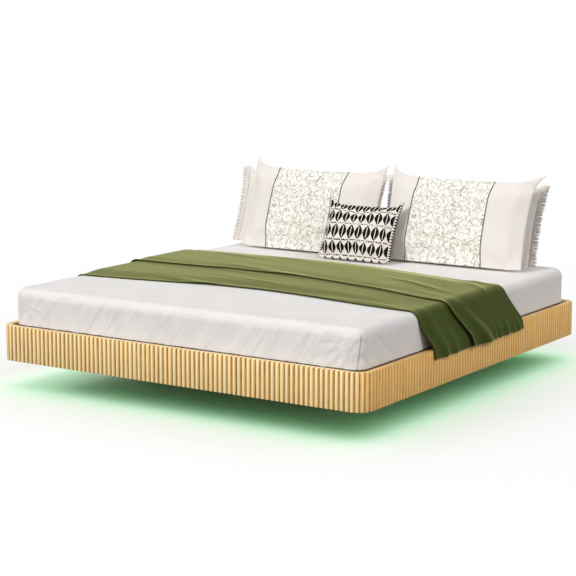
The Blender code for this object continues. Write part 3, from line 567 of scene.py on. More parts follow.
def reeded_timber(name, node, line, length, side_shade, finish):
    """A timber reeded outside. line gives the reeds' crest and the way out, at a share of its run."""
    low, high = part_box(node)
    count = max(1, round(length / REED_PITCH))
    tones = np.random.default_rng(sum(map(ord, name))).random(count)
    # Heights up the face, each with how far the eased edge stands back there
    part = EASED_EDGE * 0.3
    edge = [(low.z, EASED_EDGE), (low.z + part, part), (low.z + EASED_EDGE, 0)]
    profile = edge + [(low.z + high.z - z, inset) for z, inset in reversed(edge)]
    rings, values = [], []
    for station in range(count * REED_STEPS + 1):
        reed = min(station // REED_STEPS, count - 1)
        angle = math.pi * (station - reed * REED_STEPS) / REED_STEPS
        share = (reed + (1 - math.cos(angle)) / 2) / count
        groove = 1 - math.sin(angle)
        crest, way = line(share)
        ring = [(*(crest - way * (REED_DEPTH * groove + inset)), z) for z, inset in profile]
        ring += [(*(crest - way * (RAIL_THICKNESS - inset)), z) for z, inset in reversed(profile)]
        rings.append(ring)
        for depth in (groove, 0.0):
            values += [(tones[reed], depth, side_shade(share))] * len(profile)
    piece = solid(name, rings, tube_faces(len(rings), len(rings[0])))
    piece.data.set_sharp_from_angle(angle=math.radians(40))
    # Each point keeps its reed's random tone, its groove depth for the painted highlight and groove shade, and its
    # painted side shade
    for kind, column in zip(("reed_tone", "groove", "side_shade"), np.array(values).T):
        set_values(piece, kind, column)
    replace(piece, node, finish)


def make_reeded_frame():
    finish = reeded_oak()
    # The last number of each entry is the painted side shade: 1 on the side rails and 0 on the end rails; the
    # corners below go from 1 to 0
    for parts, across, along, side_shade in [
        (ENDS, Vector((0, HALF_Y)), Vector((-STRAIGHT_X, 0)), 0.0),
        (SIDES, Vector((HALF_X, 0)), Vector((0, STRAIGHT_Y)), 1.0),
    ]:
        for part, sign in parts.items():

            def straight(share):
                return (across + along * (2 * share - 1)) * sign, across.normalized() * sign

            reeded_timber(
                f"reeded_rail_{part}", f"rail_{part}", straight, along.length * 2, lambda share: side_shade, finish
            )
    for end, end_sign in ENDS.items():
        for side, side_sign in SIDES.items():
            centre = Vector(((HALF_X - CORNER_RADIUS) * side_sign, (HALF_Y - CORNER_RADIUS) * end_sign))

            def arc(share):
                angle = math.pi / 2 * share
                way = Vector((math.cos(angle) * side_sign, math.sin(angle) * end_sign))
                return centre + way * CORNER_RADIUS, way

            reeded_timber(
                f"reeded_corner_{end}_{side}", f"corner_{end}_{side}", arc, CORNER_RADIUS * math.pi / 2,
                lambda share: 1.0 - share, finish,
            )


# Rounded blocks: the mattress and the sheet over it

def rounded_outline(u, v, half_x, half_y, radius):
    """x and y of the points of square rings on rounded rectangles, and of the way out, for arrays u and v."""
    ring = np.maximum(np.abs(u), np.abs(v))
    bend = radius * ring ** 4 + 1e-9
    on_side = np.abs(u) >= np.abs(v)
    along = np.where(on_side, np.abs(v) * half_y, np.abs(u) * half_x)
    straight = np.where(on_side, half_y, half_x) * ring - bend
    angle = np.clip((along - straight) / bend, 0, 1) * math.pi / 4
    far = np.where(on_side, half_x, half_y) * ring - bend * (1 - np.cos(angle))
    near = np.where(along <= straight, along, straight + bend * np.sin(angle))
    return [
        np.where(on_side == (axis is u), first, second) * np.sign(axis)
        for first, second in ((far, near), (np.cos(angle), np.sin(angle))) for axis in (u, v)
    ]


def rounded_block(low, high, outset, cells, edge_steps, side_steps, closed):
    """Points, normals, places on the flat cloth and faces of the mattress's block, outset by some distance.

    The top is a square grid whose rings are rounded rectangles, and the sides hang from its outer ring. A
    closed block has a round bottom edge and a bottom too.
    """
    radius = MATTRESS_EDGE_RADIUS + outset
    line = crowded(cells, BLOCK_CROWDING_SHARE)
    v, u = np.meshgrid(line, line, indexing="ij")
    number = np.arange(u.size).reshape(u.shape)
    rim = np.concatenate([number[0, :-1], number[:-1, -1], number[-1, :0:-1], number[:0:-1, 0]])
    shape = (high.x - radius, high.y - radius, MATTRESS_CORNER_RADIUS - MATTRESS_EDGE_RADIUS)
    x, y, _, _ = rounded_outline(u, v, *shape)
    edge = rounded_outline(u.ravel()[rim], v.ravel()[rim], *shape)

    def layer(x, y, out_x, out_y, outset, z, level, upward, away):
        """A row for each point: its place, its normal, and its place on the flat cloth."""
        return columns(
            x + out_x * outset, y + out_y * outset, z, out_x * level, out_y * level, upward,
            x + out_x * away, y + out_y * away, away,
        )

    turns = [(a, math.sin(a), math.cos(a)) for a in math.pi / 2 * np.arange(1, edge_steps + 1) / edge_steps]
    side_low = low.z + radius if closed else low.z
    side_top = high.z - radius
    sections = [(radius * sin, high.z - radius * (1 - cos), sin, cos, radius * a) for a, sin, cos in turns]
    for z in np.linspace(side_top, side_low, side_steps + 1)[1:]:
        sections.append((radius, z, 1.0, 0.0, radius * math.pi / 2 + side_top - z))
    if closed:
        sections += [(radius * cos, side_low - radius * sin, cos, -sin, 0.0) for _, sin, cos in turns]
    layers = [layer(x.ravel(), y.ravel(), 0, 0, 0, high.z, 0, 1, 0)]
    layers += [layer(*edge, *section) for section in sections]
    quads = grid_faces(*u.shape)
    lookup = np.concatenate([rim, u.size + np.arange(len(sections) * rim.size)])
    faces = [quads, lookup[grid_faces(len(sections) + 1, rim.size, wrap=True)][:, ::-1]]
    if closed:
        count = u.size + len(sections) * rim.size
        bottom = np.zeros(u.shape, int)
        bottom.ravel()[rim] = np.arange(count - rim.size, count)
        bottom[1:-1, 1:-1] = np.arange(count, count + (cells - 1) ** 2).reshape(cells - 1, cells - 1)
        faces.append(bottom.ravel()[quads][:, ::-1])
        layers.append(layer(x[1:-1, 1:-1].ravel(), y[1:-1, 1:-1].ravel(), 0, 0, 0, low.z, 0, -1, 0))
    return *np.split(np.concatenate(layers), 3, axis=1), np.concatenate(faces)


def ticking():
    """Woven mattress cover with narrow blue-grey stripes."""
    finish = Finish("ticking", 0.85)
    x, _, _ = finish.place().split()
    stripe = x.off_middle(0.045) < 0.09
    cloth = (stripe * 0.5).mix((0.80, 0.79, 0.76), (0.36, 0.42, 0.50))
    cloth = finish.place().noise(30, 3).between(0.3, 0.7, 0.0, 0.12).mix(cloth, (0.62, 0.60, 0.56))
    return finish.look(cloth, finish.place().weave(0.0011).bump(0.3, 0.0003))


def make_mattress():
    """The mattress, quilted in shallow channels underneath."""
    points, normals, _, faces = rounded_block(*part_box("mattress"), 0.0, 48, 5, 6, closed=True)
    quilt = np.abs(np.sin(points[:, 0] * math.pi / QUILT_PITCH) * np.sin(points[:, 1] * math.pi / QUILT_PITCH))
    dip = QUILT_DEPTH * (1 - quilt ** 0.5) * (normals[:, 2] < -0.5)
    piece = mesh_object("mattress_pad", points - normals * dip[:, None], faces)
    replace(piece, "mattress", ticking())


def sheet_cotton():
    """Warm white cotton: a fine weave, soft creases, pleats that fan out from each corner, its seams, and a painted
    shade line just below the rail top.
    """
    finish = Finish("sheet_cotton", 0.8)
    flat = finish.flat()
    _, y, z = finish.place().split()
    across, down, away = flat.split()
    from_seam = abs(finish.kept("seam"))
    on_side = away > SEAM_START
    colour = flat.noise(5, 3, 0.55).ramp((0.3, SHEET_SHADE), (0.7, SHEET_COLOUR))
    stitch = (from_seam < SEAM_HALF_WIDTH) * on_side
    colour = (stitch * 0.85).mix(colour, SHEET_SEAM)
    # Painted shade: the sheet is dark from just below the rail top down, with an uneven upper edge
    tuck = z - flat.noise(34, 3, 0.6) * (RAIL_SHADE_RISE * 2)
    colour = tuck.between(RAIL_TOP - 0.0025, RAIL_TOP - 0.0005, 1.0, 0.0).mix(colour, SHEET_RAIL_SHADE)

    slant, reach, corner = finish.kept("fan", "Vector").split()
    rays = finish.vector(slant * 7.0, reach * 4.0, corner)
    pleats = abs(rays.noise(1.0, 1, 0.5) - 0.5) * (finish.kept("pleat") * 0.8)
    ridge = from_seam.between(0.0015, 0.007, 1.0, 0.0) * on_side
    streaks = finish.vector(across - down * STREAK_SLANT, down * 0.2).noise(15, 2, 0.45, 0.25)
    near_foot = y.between(-1.0, -0.6, 1.0, 0.15)
    coarse = (pleats + ridge * 0.5 + streaks * (near_foot * 1.8)).bump(1.0, PLEAT_DEPTH)
    normal = finish.flat().weave(0.0008).bump(0.2, 0.0002, coarse)
    return finish.look(colour, normal, **{"Sheen Weight": 0.15, "Sheen Roughness": 0.4})


def corner_fans(points, corners, seam_top):
    """For each point: its slant below level and its reach from its nearest corner's seam top, which corner it
    is, and how far it is beside that seam."""
    x, y, side_sign, end_sign = np.array(corners).T[:, :, None]
    along_x, along_y, down = points[:, 0] - x, points[:, 1] - y, seam_top - points[:, 2]
    across = np.hypot(along_x, along_y)
    reach = np.hypot(down, across)
    beside = (along_x * side_sign - along_y * end_sign) / math.sqrt(2) + (down - 0.03) * SEAM_TILT
    nearest = reach.argmin(axis=0)
    slant, reach, beside = (
        np.choose(nearest, values) for values in (np.arctan2(down, across + 1e-6), reach, beside)
    )
    return columns(slant, reach, nearest * 7.0), beside


def make_fitted_sheet():
    """The fitted sheet: taut on top, with soft creases at the foot and a puckered seam at each corner."""
    low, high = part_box("fitted_sheet")
    points, normals, flats, faces = rounded_block(
        low, high, SHEET_GAP + SHEET_THICKNESS, cells=104, edge_steps=8, side_steps=24, closed=False
    )
    x, y, z = points.T
    side = 1 - normals[:, 2]
    flank = np.abs(x) > high.x - 0.01
    near_foot = 1 - smooth_step(y + high.y, *FOOT_CREASE_FADES)
    near_foot = near_foot * (1 - smooth_step(-y, high.y - 0.03, high.y) * 0.4) * (side < 0.6)
    rise = FOOT_CREASE * near_foot * np.abs(swells(x, y, 7, 9, 0.07, 0.22, math.radians(-28), 0.35))
    upright = np.clip(swells(x + y, z * 0.35, 11, 8, 0.05, 0.16, math.radians(14), 0.5), 0, None)
    rise += SIDE_CREASE * smooth_step(side, 0.4, 1.0) * upright * (y < 0) * np.where(flank, FLANK_CREASE_SHARE, 1.0)
    inset = 0.4 * MATTRESS_CORNER_RADIUS
    corners = [
        ((high.x - inset) * side_sign, (high.y - inset) * end_sign, side_sign, end_sign)
        for side_sign in SIDES.values() for end_sign in ENDS.values()
    ]
    fan, beside = corner_fans(points, corners, high.z - SEAM_TOP_DROP)
    slant, reach, _ = fan.T
    fade = smooth_step(reach, 0.012, 0.05) * (1 - smooth_step(reach, 0.10, 0.30)) * side
    fade = fade * np.where(flank, FAN_FLANK_SHARE, 1.0)
    for middle, width, height in FAN_FOLDS:
        rise += bell(slant, middle, width) * height * fade
    piece = mesh_object("fitted_sheet_cover", points + normals * rise[:, None], faces)
    for name, values in {"flat": flats, "fan": fan, "seam": beside, "pleat": fade}.items():
        set_values(piece, name, values)
    thicken(piece, SHEET_THICKNESS, -1)
    replace(piece, "fitted_sheet", sheet_cotton())
    drop = MATTRESS_EDGE_RADIUS * math.pi / 2 + high.z - low.z
    flat = ((high.x - MATTRESS_EDGE_RADIUS + drop) * 2, (high.y - MATTRESS_EDGE_RADIUS + drop) * 2)
    cut_corners = 4 * drop ** 2
    flat[0] * flat[1] - cut_corners


# Throw

def velvet():
    """Moss green velvet: a dark pile that pales where it is seen aslant, with a brushed, uneven nap, and painted
    shade towards its right-hand shoulder and hang.
    """
    finish = Finish("velvet", 0.75)
    strokes = finish.flat((0.6, 4, 1)).noise(24, 3, 0.6)
    pile = finish.flat().noise(900, 2, 0.6)
    x, _, _ = finish.place().split()
    nap = finish.flat((0.35, 1.6, 1)).noise(7, 4, 0.55, 0.8)
    cloth = nap.ramp((0.30, VELVET_DARK), (0.52, VELVET), (0.74, VELVET_LIGHT))
    cloth = strokes.between(0.35, 0.65, 0.12, 0.0).mix(cloth, VELVET_DARK)
    cloth = pile.between(0.35, 0.6, 0.25, 0.0).mix(cloth, VELVET_DARK)
    # Painted shade: darker towards the right-hand shoulder and down the right-hand hang
    cloth = x.between(0.5, 0.9, 0.0, 0.75).mix(cloth, VELVET_DARK)
    return finish.look(cloth, pile.bump(0.35, 0.0005, strokes.bump(0.12, 0.003)), **{
        "Sheen Weight": 1.0, "Sheen Roughness": 0.27, "Sheen Tint": (0.96, 0.92, 0.42),
        "Specular IOR Level": 0.1,
    })


def smooth_value(values, share):
    """A smooth line through five values, which stand at the shares -2, -1, 0, 1 and 2, for an array."""
    values = np.asarray(values)
    index = np.clip(np.floor(share + 2).astype(int), 0, len(values) - 2)
    part = share + 2 - index
    before, start, end, after = (values[np.clip(index + step, 0, len(values) - 1)] for step in (-1, 0, 1, 2))
    bend = (2 * before - 5 * start + 4 * end - after) * part ** 2
    bend = bend + (3 * start - before - 3 * end + after) * part ** 3
    return start + ((end - before) * part + bend) / 2


def throw_line():
    """The throw's line across the bed from the left hem to the right: x, z, share and distance.

    The share is 0 in the middle, 1 at a shoulder and 2 at a hem, and negative on the left.
    """
    level = SHEET_HIGH.z + THROW_GAP
    radius = MATTRESS_EDGE_RADIUS + SHEET_GAP + SHEET_THICKNESS + THROW_GAP
    shoulder_x = SHEET_HIGH.x + THROW_GAP - radius
    shoulder_z = level - radius
    hang_x = HALF_X + THROW_RAIL_CLEARANCE + THROW_THICKNESS / 2
    rail_z = RAIL_TOP + THROW_RAIL_CLEARANCE
    slope = math.atan2(hang_x - shoulder_x - radius, shoulder_z - rail_z)
    points = [
        (shoulder_x + radius * math.cos(angle), shoulder_z + radius * math.sin(angle))
        for angle in np.linspace(math.pi / 2, slope, 13)
    ]
    points += [(hang_x - 0.004, rail_z + 0.012), (hang_x, rail_z - 0.004), (hang_x, RAIL_TOP - THROW_HEM_DROP)]
    line, places = evenly(points, THROW_STEP)
    top = np.linspace(0, shoulder_x, round(shoulder_x / THROW_TOP_STEP) + 1)[:-1]
    x, z = np.concatenate([columns(top, level), line]).T
    away = np.concatenate([top, places + shoulder_x])
    share = np.where(away <= shoulder_x, away / shoulder_x, 1 + (away - shoulder_x) / (away[-1] - shoulder_x))
    halves = [(x, -1), (z, 1), (share, -1), (away, -1)]
    return [np.concatenate([half[:0:-1] * sign, half]) for half, sign in halves]


def make_throw():
    """The throw: doubled over at its far edge, creased across the bed, with folds where it hangs."""
    x, z, share, distance = throw_line()
    run_x, run_z = np.gradient(x), np.gradient(z)
    size = np.hypot(run_x, run_z)
    # Rows run up the lower layer (way 0 to 1), round the fold at its far edge, and back on top (1 to 2)
    rise = THROW_THICKNESS + THROW_LAYER_GAP
    lower = np.linspace(0, 1, round(THROW_WIDTH / THROW_STEP) + 1)
    upper = np.linspace(1, 2, round(THROW_WIDTH * THROW_DOUBLED_SHARE / THROW_STEP) + 1)
    turn = np.arange(1, 6) * math.pi / 6
    way = np.concatenate([lower, turn * 0 + 1, upper])[:, None]
    beyond = np.concatenate([lower * 0, rise / 2 * np.sin(turn), upper * 0])[:, None]
    height = np.concatenate([lower * 0, rise / 2 * (1 - np.cos(turn)), upper * 0 + rise])[:, None]
    near, layer, far = (
        smooth_value(shares, share) * THROW_WIDTH
        for shares in (THROW_NEAR_SHARES, THROW_LAYER_SHARES, THROW_FAR_SHARES)
    )
    on_lower = way <= 1
    y = np.where(on_lower, near + (far - near) * way, far + (layer - far) * (way - 1)) + beyond
    doubled = ~on_lower | (y > layer)
    hang = np.clip(np.abs(share) - 1, 0, 1)
    wide = distance + 0 * y

    creases = np.clip(swells(wide, y, 3, 9, 0.10, 0.40, math.radians(84), 0.22), 0, None) ** 1.5
    patches = smooth_step(swells(wide, y, 5, 6, 0.5, 1.3, 0.4, 1.5), -0.4, 1.2)
    top = 1 - smooth_step(np.abs(share), 0.86, 1.0)
    out = height + THROW_CREASE * creases * patches * (0.3 + 0.7 * top)
    for side, upper_only, start, end, start_width, end_width, start_height, end_height, begins in THROW_FOLDS:
        middle = start + (end - start) * hang
        width = start_width + (end_width - start_width) * hang
        tall = start_height + (end_height - start_height) * smooth_step(hang, begins, 1.0)
        out += bell(y, middle, width) * tall * (share * side > 0) * (doubled | (not upper_only))
    from_near = np.abs(y - near)
    crown = np.where(share > 0, 1 - smooth_step(share, 0.60, 1.04), 1 - smooth_step(-share, 1.06, 1.5))
    crown = crown * smooth_step(np.abs(y - far), 0.0, 0.14)
    out += THROW_PUFF * crown * smooth_step(from_near, -0.02, 0.16)
    out += THROW_UPPER_PUFF * crown * smooth_step(y - layer, 0.0, 0.12) * ~on_lower
    for start_x, start_y, end_x, end_y, width, tall in THROW_PULLS:
        along = np.clip((wide - start_x) / (end_x - start_x), 0, 1)
        out += bell(y - start_y - (end_y - start_y) * along, 0.0, width) * tall * np.sin(along * math.pi) * doubled
    from_layer = np.where(on_lower, 1.0, np.abs(y - layer))
    out += THROW_EDGE_LIFT * np.exp(-from_near / 0.018) * on_lower
    out += THROW_LAYER_LIFT * np.exp(-from_layer / 0.022) * (1 + 1.5 * hang)

    reach_x = x - run_z / size * out
    reach_z = z + run_x / size * out
    against = np.abs(reach_x) - (SHEET_HIGH.x + THROW_GAP)
    tuck = np.clip(against, 0, None) * bell(from_near, 0.0, 0.06) * on_lower * 0.55
    tuck = tuck * (hang > 0) * smooth_step(reach_z, RAIL_TOP + 0.012, RAIL_TOP + 0.13)
    points = columns(reach_x - np.sign(x) * tuck, y, reach_z)
    flats = columns(wide, np.where(on_lower, way, 2 - way) * THROW_WIDTH, 0.0)
    piece = mesh_object("throw_cloth", points, grid_faces(*y.shape))
    set_values(piece, "flat", flats.reshape(-1, 3))
    thicken(piece, THROW_THICKNESS, 0)
    replace(piece, "throw", velvet())


# Cushions

def ease(line):
    """A line of points with its short waves taken out and its ends kept."""
    line = line.copy()
    for _ in range(8):
        line[1:-1] = (line[:-2] + 2 * line[1:-1] + line[2:]) / 4
    return line


class Cushion:
    """A knife-edge cushion: front and back grids that share their rim, in its own upright frame.

    Across is X, up its height is Z, and its front looks along -Y. Seams stand on columns of its grids, tip
    raises its upper corners, and ear draws the right-hand one out.
    """

    def __init__(self, name, node, measures, seams=(), tip=0.0, ear=0.0):
        self.name, self.node, self.tip, self.ear = name, node, tip, ear
        self.height, self.thickness, self.foot, self.lean, self.fill = measures
        low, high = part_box(node)
        self.width = high.x - low.x
        self.middle = (low.x + high.x) / 2
        across, up = (
            crowded(round(size / CUSHION_CELL), CUSHION_CROWDING_SHARE) for size in (self.width, self.height)
        )
        self.seams = []
        for seam in seams:
            share = seam / (self.width / 2)
            self.seams.append(np.argmin(np.abs(across - share)))
            across[self.seams[-1]] = share
        self.v, self.u = np.meshgrid(up, across, indexing="ij")
        self.front = np.arange(self.u.size).reshape(self.u.shape)
        self.back = self.front.copy()
        inner = self.back[1:-1, 1:-1]
        inner[:] = self.u.size + np.arange(inner.size).reshape(inner.shape)

    def both(self, front, back):
        """Rows for every point from a grid of front rows and one of back rows."""
        return np.concatenate([front.reshape(-1, 3), back[1:-1, 1:-1].reshape(-1, 3)])

    def shape(self, swell):
        """Points of the filled cushion; swell scales how thick it is."""
        u, v = self.u, self.v
        settled = np.where(v > 0, v, v * CUSHION_SLUMP_SHARE)
        fill = (np.clip(1 - np.abs(u) ** 2.4, 0, 1) * np.clip(1 - settled ** 2, 0, 1)) ** CUSHION_FILL_POWER
        through = self.thickness * swell * fill / 2
        draw = np.where(v > 0, CUSHION_DRAW_IN, CUSHION_DRAW_IN * CUSHION_FOOT_DRAW_SHARE)
        x = u * (self.width / 2 - CUSHION_SIDE_DRAW_IN * (1 - v ** 2))
        z = v * (self.height / 2 - draw * (1 - u ** 6)) + self.height / 2
        curl = CUSHION_CORNER_CURL * np.abs(u) ** 7 * np.clip(-v, 0, 1) ** 2
        z = z + curl
        x = x - np.sign(u) * curl * 0.6
        tip = np.abs(u) ** 12 * np.clip(v, 0, 1) ** 8
        z = z + self.tip * tip
        x = x + (self.ear * (u > 0) + self.tip * 0.5) * tip
        return self.both(columns(x, -through, z), columns(x, through, z))

    def keep_rim(self, points, wanted):
        """Bring a blown-up cushion's rim back to its wanted outline, and ease the rest along with it."""
        gap = (wanted - points)[:self.u.size].reshape(*self.u.shape, 3)
        gap[..., 1] *= 0.8
        low, high, left, right = (ease(edge) for edge in (gap[0], gap[-1], gap[:, 0], gap[:, -1]))
        t = ((self.v + 1) / 2)[..., None]
        s = ((self.u + 1) / 2)[..., None]
        move = (1 - t) * low + t * high + (1 - s) * left[:, None] + s * right[:, None]
        move -= (1 - t) * ((1 - s) * low[0] + s * low[-1]) + t * ((1 - s) * high[0] + s * high[-1])
        return points + self.both(move, move)

    def faces(self):
        quads = grid_faces(*self.u.shape)
        return np.concatenate([self.front.ravel()[quads], self.back.ravel()[quads][:, ::-1]])

    def flats(self):
        """Each point's place on the flat cover, with 1 as its third number on the front and 0 behind."""
        x, z = self.u * self.width / 2, (self.v + 1) * self.height / 2
        return self.both(columns(x, z, 1.0), columns(x, z, 0.0))

    def inflated(self):
        """The points after the cover has been blown up from a slacker shape, so that it creases."""
        start = self.shape(CUSHION_START_SHARE)
        piece = mesh_object(f"{self.name}_blank", start, self.faces())
        rim = np.unique(np.concatenate([self.front[0], self.front[-1], self.front[:, 0], self.front[:, -1]]))
        piece.vertex_groups.new(name="seam").add(rim.tolist(), 1.0, "REPLACE")
        cloth = piece.modifiers.new("inflate", "CLOTH")
        for key, value in CUSHION_CLOTH.items():
            setattr(cloth.settings, key, value)
        cloth.settings.effector_weights.gravity = 0
        cloth.point_cache.frame_start = 1
        cloth.point_cache.frame_end = CUSHION_FRAMES
        scene = bpy.context.scene
        for step in range(1, CUSHION_FRAMES + 1):
            scene.frame_set(step)
        evaluated = piece.evaluated_get(bpy.context.evaluated_depsgraph_get())
        points = np.zeros(len(start) * 3, np.float32)
        evaluated.data.vertices.foreach_get("co", points)
        scene.frame_set(1)
        bpy.data.objects.remove(piece)
        moved = points.reshape(-1, 3).astype(float) - start
        moved -= moved.mean(axis=0)
        length = np.linalg.norm(moved, axis=1, keepdims=True)
        return start + moved * np.minimum(1, CUSHION_CAP / np.maximum(length, 1e-9))

    def make(self, finish):
        """Blow the cushion up, lean it back on its foot, and settle it on the sheet below."""
        wanted = self.shape(1.0)
        points = self.keep_rim(self.inflated(), wanted)
        points[:, 1] *= self.thickness / 2 / max(np.abs(points[:, 1]).max(), 1e-9)
        cos, sin = (turn(math.radians(self.lean)) for turn in (math.cos, math.sin))
        rest = SHEET_HIGH.z + CLEAR
        placed = points @ np.array([[1, 0, 0], [0, cos, -sin], [0, sin, cos]])
        placed += np.array([self.middle, self.foot, rest])
        placed[:, 2] = np.maximum(placed[:, 2] - CUSHION_SINK, rest)
        piece = mesh_object(self.name, placed, self.faces())
        set_values(piece, "flat", self.flats())
        smooth = piece.modifiers.new("smooth", "SUBSURF")
        smooth.levels = 1
        smooth.render_levels = 1
        replace(piece, self.node, finish)
        return piece, placed


def make_bedding_cushions():
    printed, plain, cord, yarn = printed_linen(), plain_linen(), piping_cord(), fringe_yarn()
    for side in SIDES:
        ear = SHAM_EAR if side == "right" else 0.0
        cushion = Cushion(f"printed_sham_{side}", f"front_sham_{side}", FRONT_SHAM, PANEL_EDGES, SHAM_TIP, ear)
        sham, placed = cushion.make(printed)
        for number, seam in enumerate(cushion.seams, 1):
            make_piping(f"piping_{side}_{number}", placed[cushion.front[:, seam]], cord, sham)
        cushion = Cushion(f"fringed_sham_{side}", f"rear_sham_{side}", REAR_SHAM)
        sham, placed = cushion.make(plain)
        for edge, sign in SIDES.items():
            length = FRINGE_LENGTH * (1.0 if edge == side else INNER_FRINGE_SHARE)
            route = placed[cushion.front[:, 0 if sign < 0 else -1]]
            make_fringe(f"fringe_{side}_{edge}", route, sign, length, yarn, sham)
    Cushion("woven_cushion", "accent_cushion", ACCENT).make(tapestry())


def make_piping(name, route, finish, sham):
    """A corded seam over the front of a sham, along a line of its points."""
    along = np.gradient(route, axis=0)
    along /= np.linalg.norm(along, axis=1, keepdims=True)
    aside = np.array([1.0, 0, 0]) - along[:, :1] * along
    aside /= np.linalg.norm(aside, axis=1, keepdims=True)
    away = np.cross(along, aside)
    turn = np.linspace(0, 2 * math.pi, PIPING_SIDES, endpoint=False)[:, None]
    rings = [
        middle + PIPING_RADIUS * (np.cos(turn) * across + np.sin(turn) * out)
        for middle, across, out in zip(route, aside, away)
    ]
    sew_on(solid(name, rings, tube_faces(len(rings), PIPING_SIDES)), sham, finish)


def make_fringe(name, route, sign, reach, finish, sham):
    """Yarns along the side edge of a sham, in small clumps that droop a little and taper to a frayed end."""
    random = np.random.default_rng(sum(map(ord, name)))
    line, _ = evenly(route, FRINGE_PITCH)
    turn = np.arange(4) * math.pi / 2
    points, faces = [], []
    for index, start in enumerate(line[1:-1]):
        place = index % FRINGE_CLUMP
        if place == 0:
            clump = (random.uniform(-0.08, 0.0), random.uniform(-0.08, 0.08), random.uniform(0.95, 1.02))
        length = reach * clump[2] * random.uniform(0.95, 1.03)
        droop = clump[0] + random.uniform(-0.04, 0.04)
        aside = clump[1] + random.uniform(-0.12, 0.12)
        radius = FRINGE_RADIUS * random.uniform(0.8, 1.15)
        gather = ((FRINGE_CLUMP - 1) / 2 - place) * FRINGE_PITCH * 0.22
        faces += tube_faces(FRINGE_STEPS + 1, 4, len(points))
        for share in np.arange(FRINGE_STEPS + 1) / FRINGE_STEPS:
            middle = start + np.array([
                sign * length * share, aside * length * share ** 1.5, droop * length * share ** 2 + gather * share,
            ])
            points += list(middle + columns(0, np.cos(turn), np.sin(turn)) * radius * (1 - 0.4 * share))
    sew_on(solid(name, points, faces), sham, finish)


def linen(finish):
    """Colour and normal of uneven linen yarns, which run both ways."""
    yarns = finish.flat((0.06, 1, 1)).noise(420, 2, 0.6) + finish.flat((1, 0.06, 1)).noise(420, 2, 0.6)
    colour = yarns.between(0.8, 1.2).mix(LINEN_SHADE, LINEN)
    colour = finish.flat().noise(9, 3).between(0.35, 0.65, 0.0, 0.3).mix(colour, LINEN_SHADE)
    creases = finish.flat().noise(22, 4, 0.55, 0.7).bump(0.2, 0.004)
    return colour, finish.flat().weave(0.0012).bump(0.25, 0.0003, creases)


def plain_linen():
    """Slubby off-white linen."""
    finish = Finish("plain_linen", 0.85)
    return finish.look(*linen(finish), **{"Sheen Weight": 0.2})


def leaves(finish, cell, offset, length, width):
    """A scatter of small curved leaves, each turned at random: where they are, and a random number for each."""
    place = finish.flat((1, 1, 0), offset)
    cells = finish.add(
        "TexVoronoi", {"Vector": place, "Scale": 1 / cell, "Randomness": 1.0}, voronoi_dimensions="2D"
    )
    random = finish.add("SeparateColor", {"Color": cells["Color"]})
    turned = finish.add("VectorRotate", {
        "Vector": place.moved("SUBTRACT", cells["Position"]), "Angle": random["Red"] * (2 * math.pi),
    }, rotation_type="Z_AXIS")["Vector"]
    x, y, _ = turned.split()
    square = x * x
    curl = (random["Green"] - 0.5) * 70.0
    return abs(y - square * curl) < (1.0 - square / length ** 2) * width, random["Blue"]


def printed_linen():
    """Linen with a printed middle panel: sage leaves and curling stems on off-white."""
    finish = Finish("printed_linen", 0.85)
    x, _, front = finish.flat().split()
    start, end = PANEL_EDGES
    inside = (x > start) * (x < end) * (front > 0.5)
    worn = finish.flat().noise(160, 3, 0.6).between(0.3, 0.6, 0.45, 1.0)
    panel = PANEL_GROUND
    for cell, offset, length, width, colour in LEAVES:
        leaf, tone = leaves(finish, cell, offset, length, width)
        panel = (leaf * (tone.between(0.0, 1.0, 0.35, 1.0) * worn)).mix(panel, colour)
    for scale, half_width, colour in STEMS:
        curl = finish.flat((1, 1, 0)).noise(scale, 1, 0.5, 0.5)
        panel = ((abs(curl - 0.5) < half_width) * worn).mix(panel, colour)
    colour, normal = linen(finish)
    return finish.look(inside.mix(colour, panel), normal, **{"Sheen Weight": 0.2})


def piping_cord():
    """Dark grey-green cord, twisted."""
    finish = Finish("piping_cord", 0.8)
    x, y, z = finish.place().split()
    twist = ((z + (x + y)) * 1800.0).maths("SINE")
    colour = finish.place().noise(240, 2).between(0.3, 0.7, 0.0, 0.35).mix(CORD, WOOL_BLACK)
    return finish.look(colour, twist.bump(0.4, 0.0004))


def fringe_yarn():
    """Soft cotton yarn, lighter and darker by the strand."""
    finish = Finish("fringe_yarn", 0.9)
    colour = finish.place((0.15, 1, 1)).noise(160, 3, 0.6).ramp((0.3, LINEN_SHADE), (0.5, YARN), (0.7, LINEN))
    fibre = finish.place((0.2, 1, 1)).noise(1400, 2)
    return finish.look(colour, fibre.bump(0.4, 0.0003), **{"Sheen Weight": 0.2})


